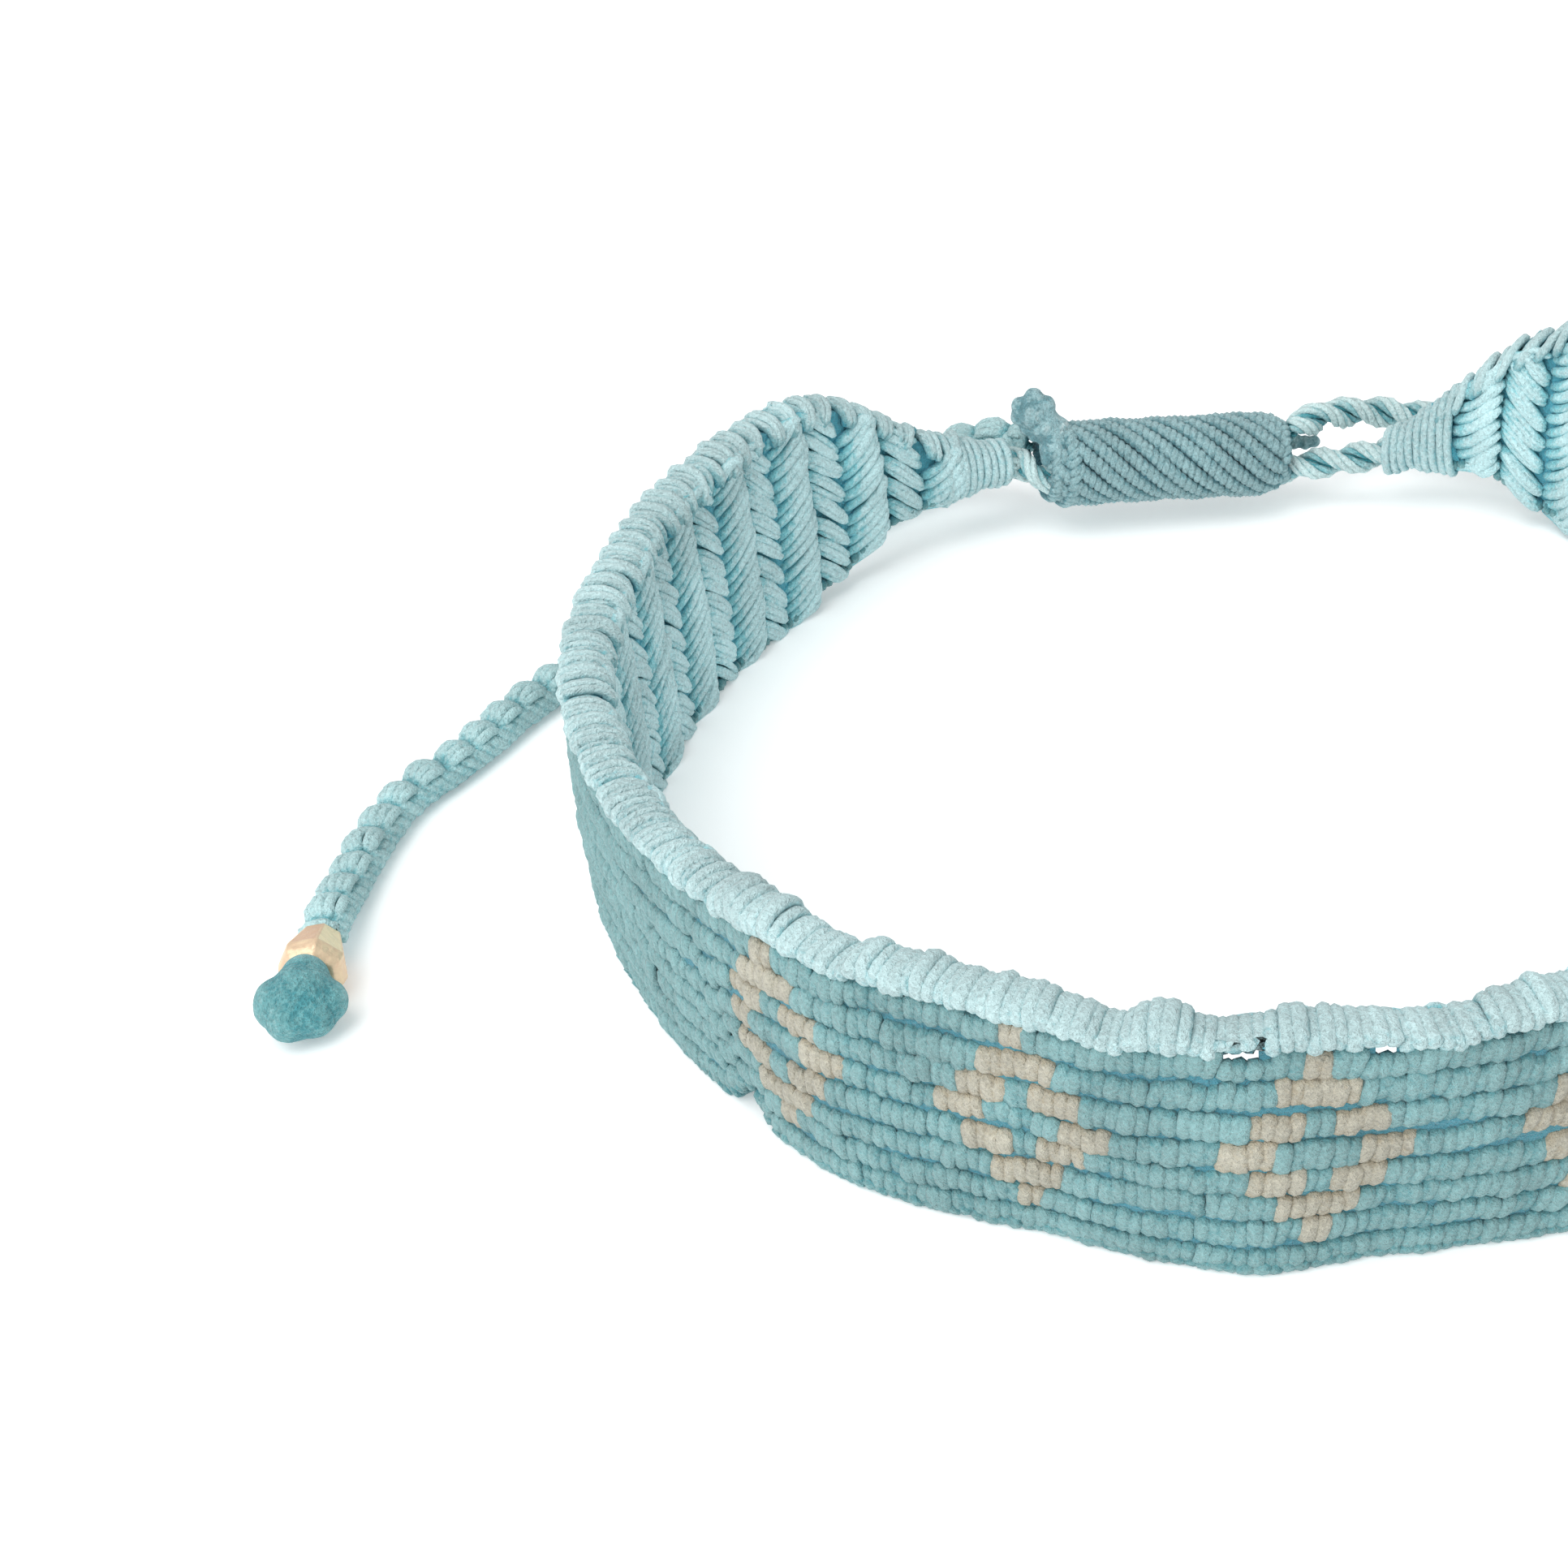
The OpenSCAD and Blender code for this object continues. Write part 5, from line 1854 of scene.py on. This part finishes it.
@dataclass
class FeltLump:
    """A lump of felted thread: balls merged into one skin, then roughened."""

    name: str
    balls: tuple
    voxel: float = 0.12
    rough: float = 0.035
    softness: int = 6
    waves: tuple = ((3.2, 1.0), (1.2, 0.3), (0.5, 0.25))
    seed: int = 2

    def build(self, finish: bpy.types.Material) -> bpy.types.Object:
        """Merges the balls, smooths the skin and gives it an uneven surface.

        Args:
            finish: the material.

        Returns:
            The piece.
        """
        bm = bmesh.new()
        for x, y, z, radius in self.balls:
            bmesh.ops.create_icosphere(bm, subdivisions=3, radius=radius * MM,
                                       matrix=Matrix.Translation(Vector((x, y, z)) * MM))
        piece = put(self.name, bm)
        melt = piece.modifiers.new("melt", "REMESH")
        melt.mode, melt.voxel_size, melt.use_smooth_shade = "VOXEL", self.voxel * MM, True
        soft = piece.modifiers.new("soft", "SMOOTH")
        soft.factor, soft.iterations = 0.5, self.softness
        made = fix_modifiers(piece)
        self._roughen(made)
        made.materials.append(finish)
        return piece

    def _roughen(self, mesh: bpy.types.Mesh) -> None:
        """Moves the skin in and out by smooth waves, and records a colour level: lighter where the skin stands out,
        darker along the creases where balls meet, a painted shade.

        Args:
            mesh: the lump's mesh.
        """
        rng = np.random.default_rng(self.seed)
        count = len(mesh.vertices)
        co, normal = np.zeros(count * 3, np.float32), np.zeros(count * 3, np.float32)
        mesh.vertices.foreach_get("co", co)
        mesh.vertices.foreach_get("normal", normal)
        co, normal = co.reshape(-1, 3), normal.reshape(-1, 3)
        wave = np.zeros(count)
        for size, part in self.waves:
            for _ in range(5):
                way = unit(rng.normal(size=3)) * 2 * math.pi / (size * MM)
                wave += part * np.sin(co @ way + rng.uniform(0, 2 * math.pi)) / 5
        balls = np.array(self.balls)
        depth = np.sort(np.linalg.norm(co[:, None] / MM - balls[None, :, :3], axis=2) - balls[:, 3], axis=1)
        between = np.exp(-((depth[:, 1] - depth[:, 0]) / 0.28) ** 2)
        co = co + normal * ((wave * self.rough * 2 - 0.05 * between) * MM)[:, None]
        co[:, 2] = np.maximum(co[:, 2], 0.05 * MM)
        mesh.vertices.foreach_set("co", co.astype(np.float32).ravel())
        # Painted shade: creases between balls darkened, raised skin lightened.
        record(mesh, "rise", np.clip(0.62 + 0.4 * wave - 0.38 * between, 0, 1))
        record(mesh, "tint", np.full(count, 0.5))
        mesh.polygons.foreach_set("use_smooth", np.ones(len(mesh.polygons), bool))
        mesh.update()


@dataclass
class TailEnd:
    """The faceted bead and the felted knot that stops it, at the end of a tail."""

    side: Side
    bead_d: float = 3.2
    bead_len: float = 2.6
    bore_r: float = 0.62
    facets: int = 7
    facet_turn: float = 21.3
    # Painted reflection: a fixed lightness for each facet, one of them much brighter.
    facet_glint: tuple = (0.95, 0.15, 0.1, 0.4, 0.5, 0.3, 0.3)
    lobes: tuple = ((0.75, 0.0, 0.35, 1.2), (1.55, 0.0, 0.05, 1.62), (1.75, -0.8, 0.0, 1.35), (1.6, 0.95, -0.1, 1.08),
                    (2.25, -0.35, -0.2, 1.3), (2.0, 0.35, -0.2, 1.35))

    def __post_init__(self) -> None:
        """Finds where the bead starts and which way it points."""
        route = CLOSURE.route(self.side)
        step = route[-1] - route[-2]
        self.ahead = unit(step * [1, 1, 0])
        self.start = (route[-1] + CLOSURE.fit_gap * self.ahead) * [1, 1, 0] + UP * (self.bead_d / 2 + 0.1)
        self.across = np.cross(UP, self.ahead)

    def spot(self, along: float, across: float, up: float) -> np.ndarray:
        """A point by its place along, left of and above the bead's middle line."""
        return self.start + along * self.ahead + across * self.across + up * UP

    def bead(self, finish: bpy.types.Material) -> bpy.types.Object:
        """Spins the bead's outline into flat facets and rounds their edges.

        Args:
            finish: the material.

        Returns:
            The bead.
        """
        bm = bmesh.new()
        half, long = self.bead_d / 2, self.bead_len
        outline = ((self.bore_r, 0.02), (0.6 * half, 0), (half, 0.7 * long), (0.95 * half, 0.88 * long),
                   (0.75 * half, long), (self.bore_r, long - 0.02))
        verts = [bm.verts.new((r, 0, z)) for r, z in outline]
        edges = [bm.edges.new((verts[i], verts[(i + 1) % len(verts)])) for i in range(len(verts))]
        bmesh.ops.spin(bm, geom=verts + edges, cent=(0, 0, 0), axis=(0, 0, 1), angle=2 * math.pi,
                       steps=self.facets, use_merge=True, use_duplicate=False)
        bmesh.ops.remove_doubles(bm, verts=bm.verts, dist=1e-4)
        bmesh.ops.recalc_face_normals(bm, faces=bm.faces)
        sharp = [e for e in bm.edges if len(e.link_faces) == 2 and e.calc_face_angle() > 0.2]
        bmesh.ops.bevel(bm, geom=sharp, offset=0.07, offset_type="OFFSET", segments=2, profile=0.5,
                        affect="EDGES", material=-1)
        facet_glint = bm.faces.layers.float.new("facet_glint")
        for f in bm.faces:
            c = f.calc_center_median()
            facet = math.floor((math.degrees(math.atan2(c.y, c.x)) % 360) / (360 / self.facets))
            f[facet_glint] = self.facet_glint[facet] if f.calc_area() > 0.5 else 0.5
        turn = Matrix((Vector(self.across), Vector(UP), Vector(self.ahead))).transposed().to_4x4()
        spin = Matrix.Rotation(math.radians(self.side.hand * self.facet_turn), 4, "Z")
        bmesh.ops.transform(bm, matrix=Matrix.Scale(MM, 4) @ Matrix.Translation(Vector(self.start)) @ turn @ spin,
                            verts=bm.verts)
        bmesh.ops.recalc_face_normals(bm, faces=bm.faces)
        piece = put(f"gold_bead_{self.side}", bm)
        piece.data.materials.append(finish)
        return settle(piece, "bead", f"bead_{self.side}")

    def knot(self, finish: bpy.types.Material) -> bpy.types.Object:
        """Builds the felted knot, with the thread that runs back through the bead.

        Args:
            finish: the material.

        Returns:
            The knot.
        """
        balls = [(*self.spot(self.bead_len + along, self.side.hand * across, up), radius)
                 for along, across, up, radius in self.lobes]
        balls += [(*self.spot(along, 0, 0), 0.52) for along in np.linspace(0.3, self.bead_len, 8)]
        seed = 2 if self.side is Side.LEFT else 6
        lump = FeltLump(f"felt_knot_{self.side}", tuple(balls), softness=12, seed=seed)
        return settle(lump.build(finish), "end_knot", f"end_knot_{self.side}")


# Making the bracelet.


def report(piece: bpy.types.Object) -> None:
    """Logs a finished piece and its faces."""
    log.info("%s: %d faces", piece.name, len(piece.data.polygons))


def main() -> None:
    """Builds the bracelet, piece by piece."""
    logging.basicConfig(level=logging.INFO, format="%(message)s")
    finishes = Finishes()
    studio = Studio()
    studio.camera()
    studio.table(finishes.table)
    studio.light()
    for side in Side:
        tail = Tail(side)
        piece = tail.build(finishes)
        end = TailEnd(side)
        bead, knot = end.bead(finishes.gold), end.knot(finishes.felt)
        tail.declare()
        for made in (piece, bead, knot):
            report(made)
        report(Whipping(side).build(finishes))
    for side in Side:
        held = TwoPly(f"held_cord_{side}", CLOSURE.held(side)).build(finishes)
        report(settle(held, "cord", f"tie_cord_{side}"))
    for piece in SlidingKnot().build(finishes):
        report(piece)
    report(BandCore().build(finishes.deep))
    for piece in OuterKnots().build(finishes) + InnerStitches().build(finishes):
        report(piece)
    report(RolledRim("upper_rim", True, 0.42, 0.215, 0.25, 31, over=(
        (0, -0.27, -0.3, 0), (0, -0.18, -0.06, 0), (0, -0.02, 0.06, 0.35), (0.05, 0.08, 0.04, 0.85),
        (0.3, 0.13, 0, 1), (0.62, 0.12, 0, 1), (0.92, -0.04, 0, 0.95), (1, -0.35, -0.12, 0.5),
        (1, -0.68, -0.18, 0.15), (1, -1.0, 0.1, 0))).build(finishes.rim))
    report(RolledRim("lower_rim", False, 0.48, 0.24, 0.24, 32, over=(
        (0, -0.7, -0.3, 0), (0, -0.35, 0.02, 0), (0.15, -0.18, 0, 0), (0.5, -0.16, 0, 0), (0.85, -0.18, 0, 0),
        (1, -0.4, 0.02, 0), (1, -0.75, 0.3, 0))).build(finishes.teal))


if __name__ == "__main__":
    main()
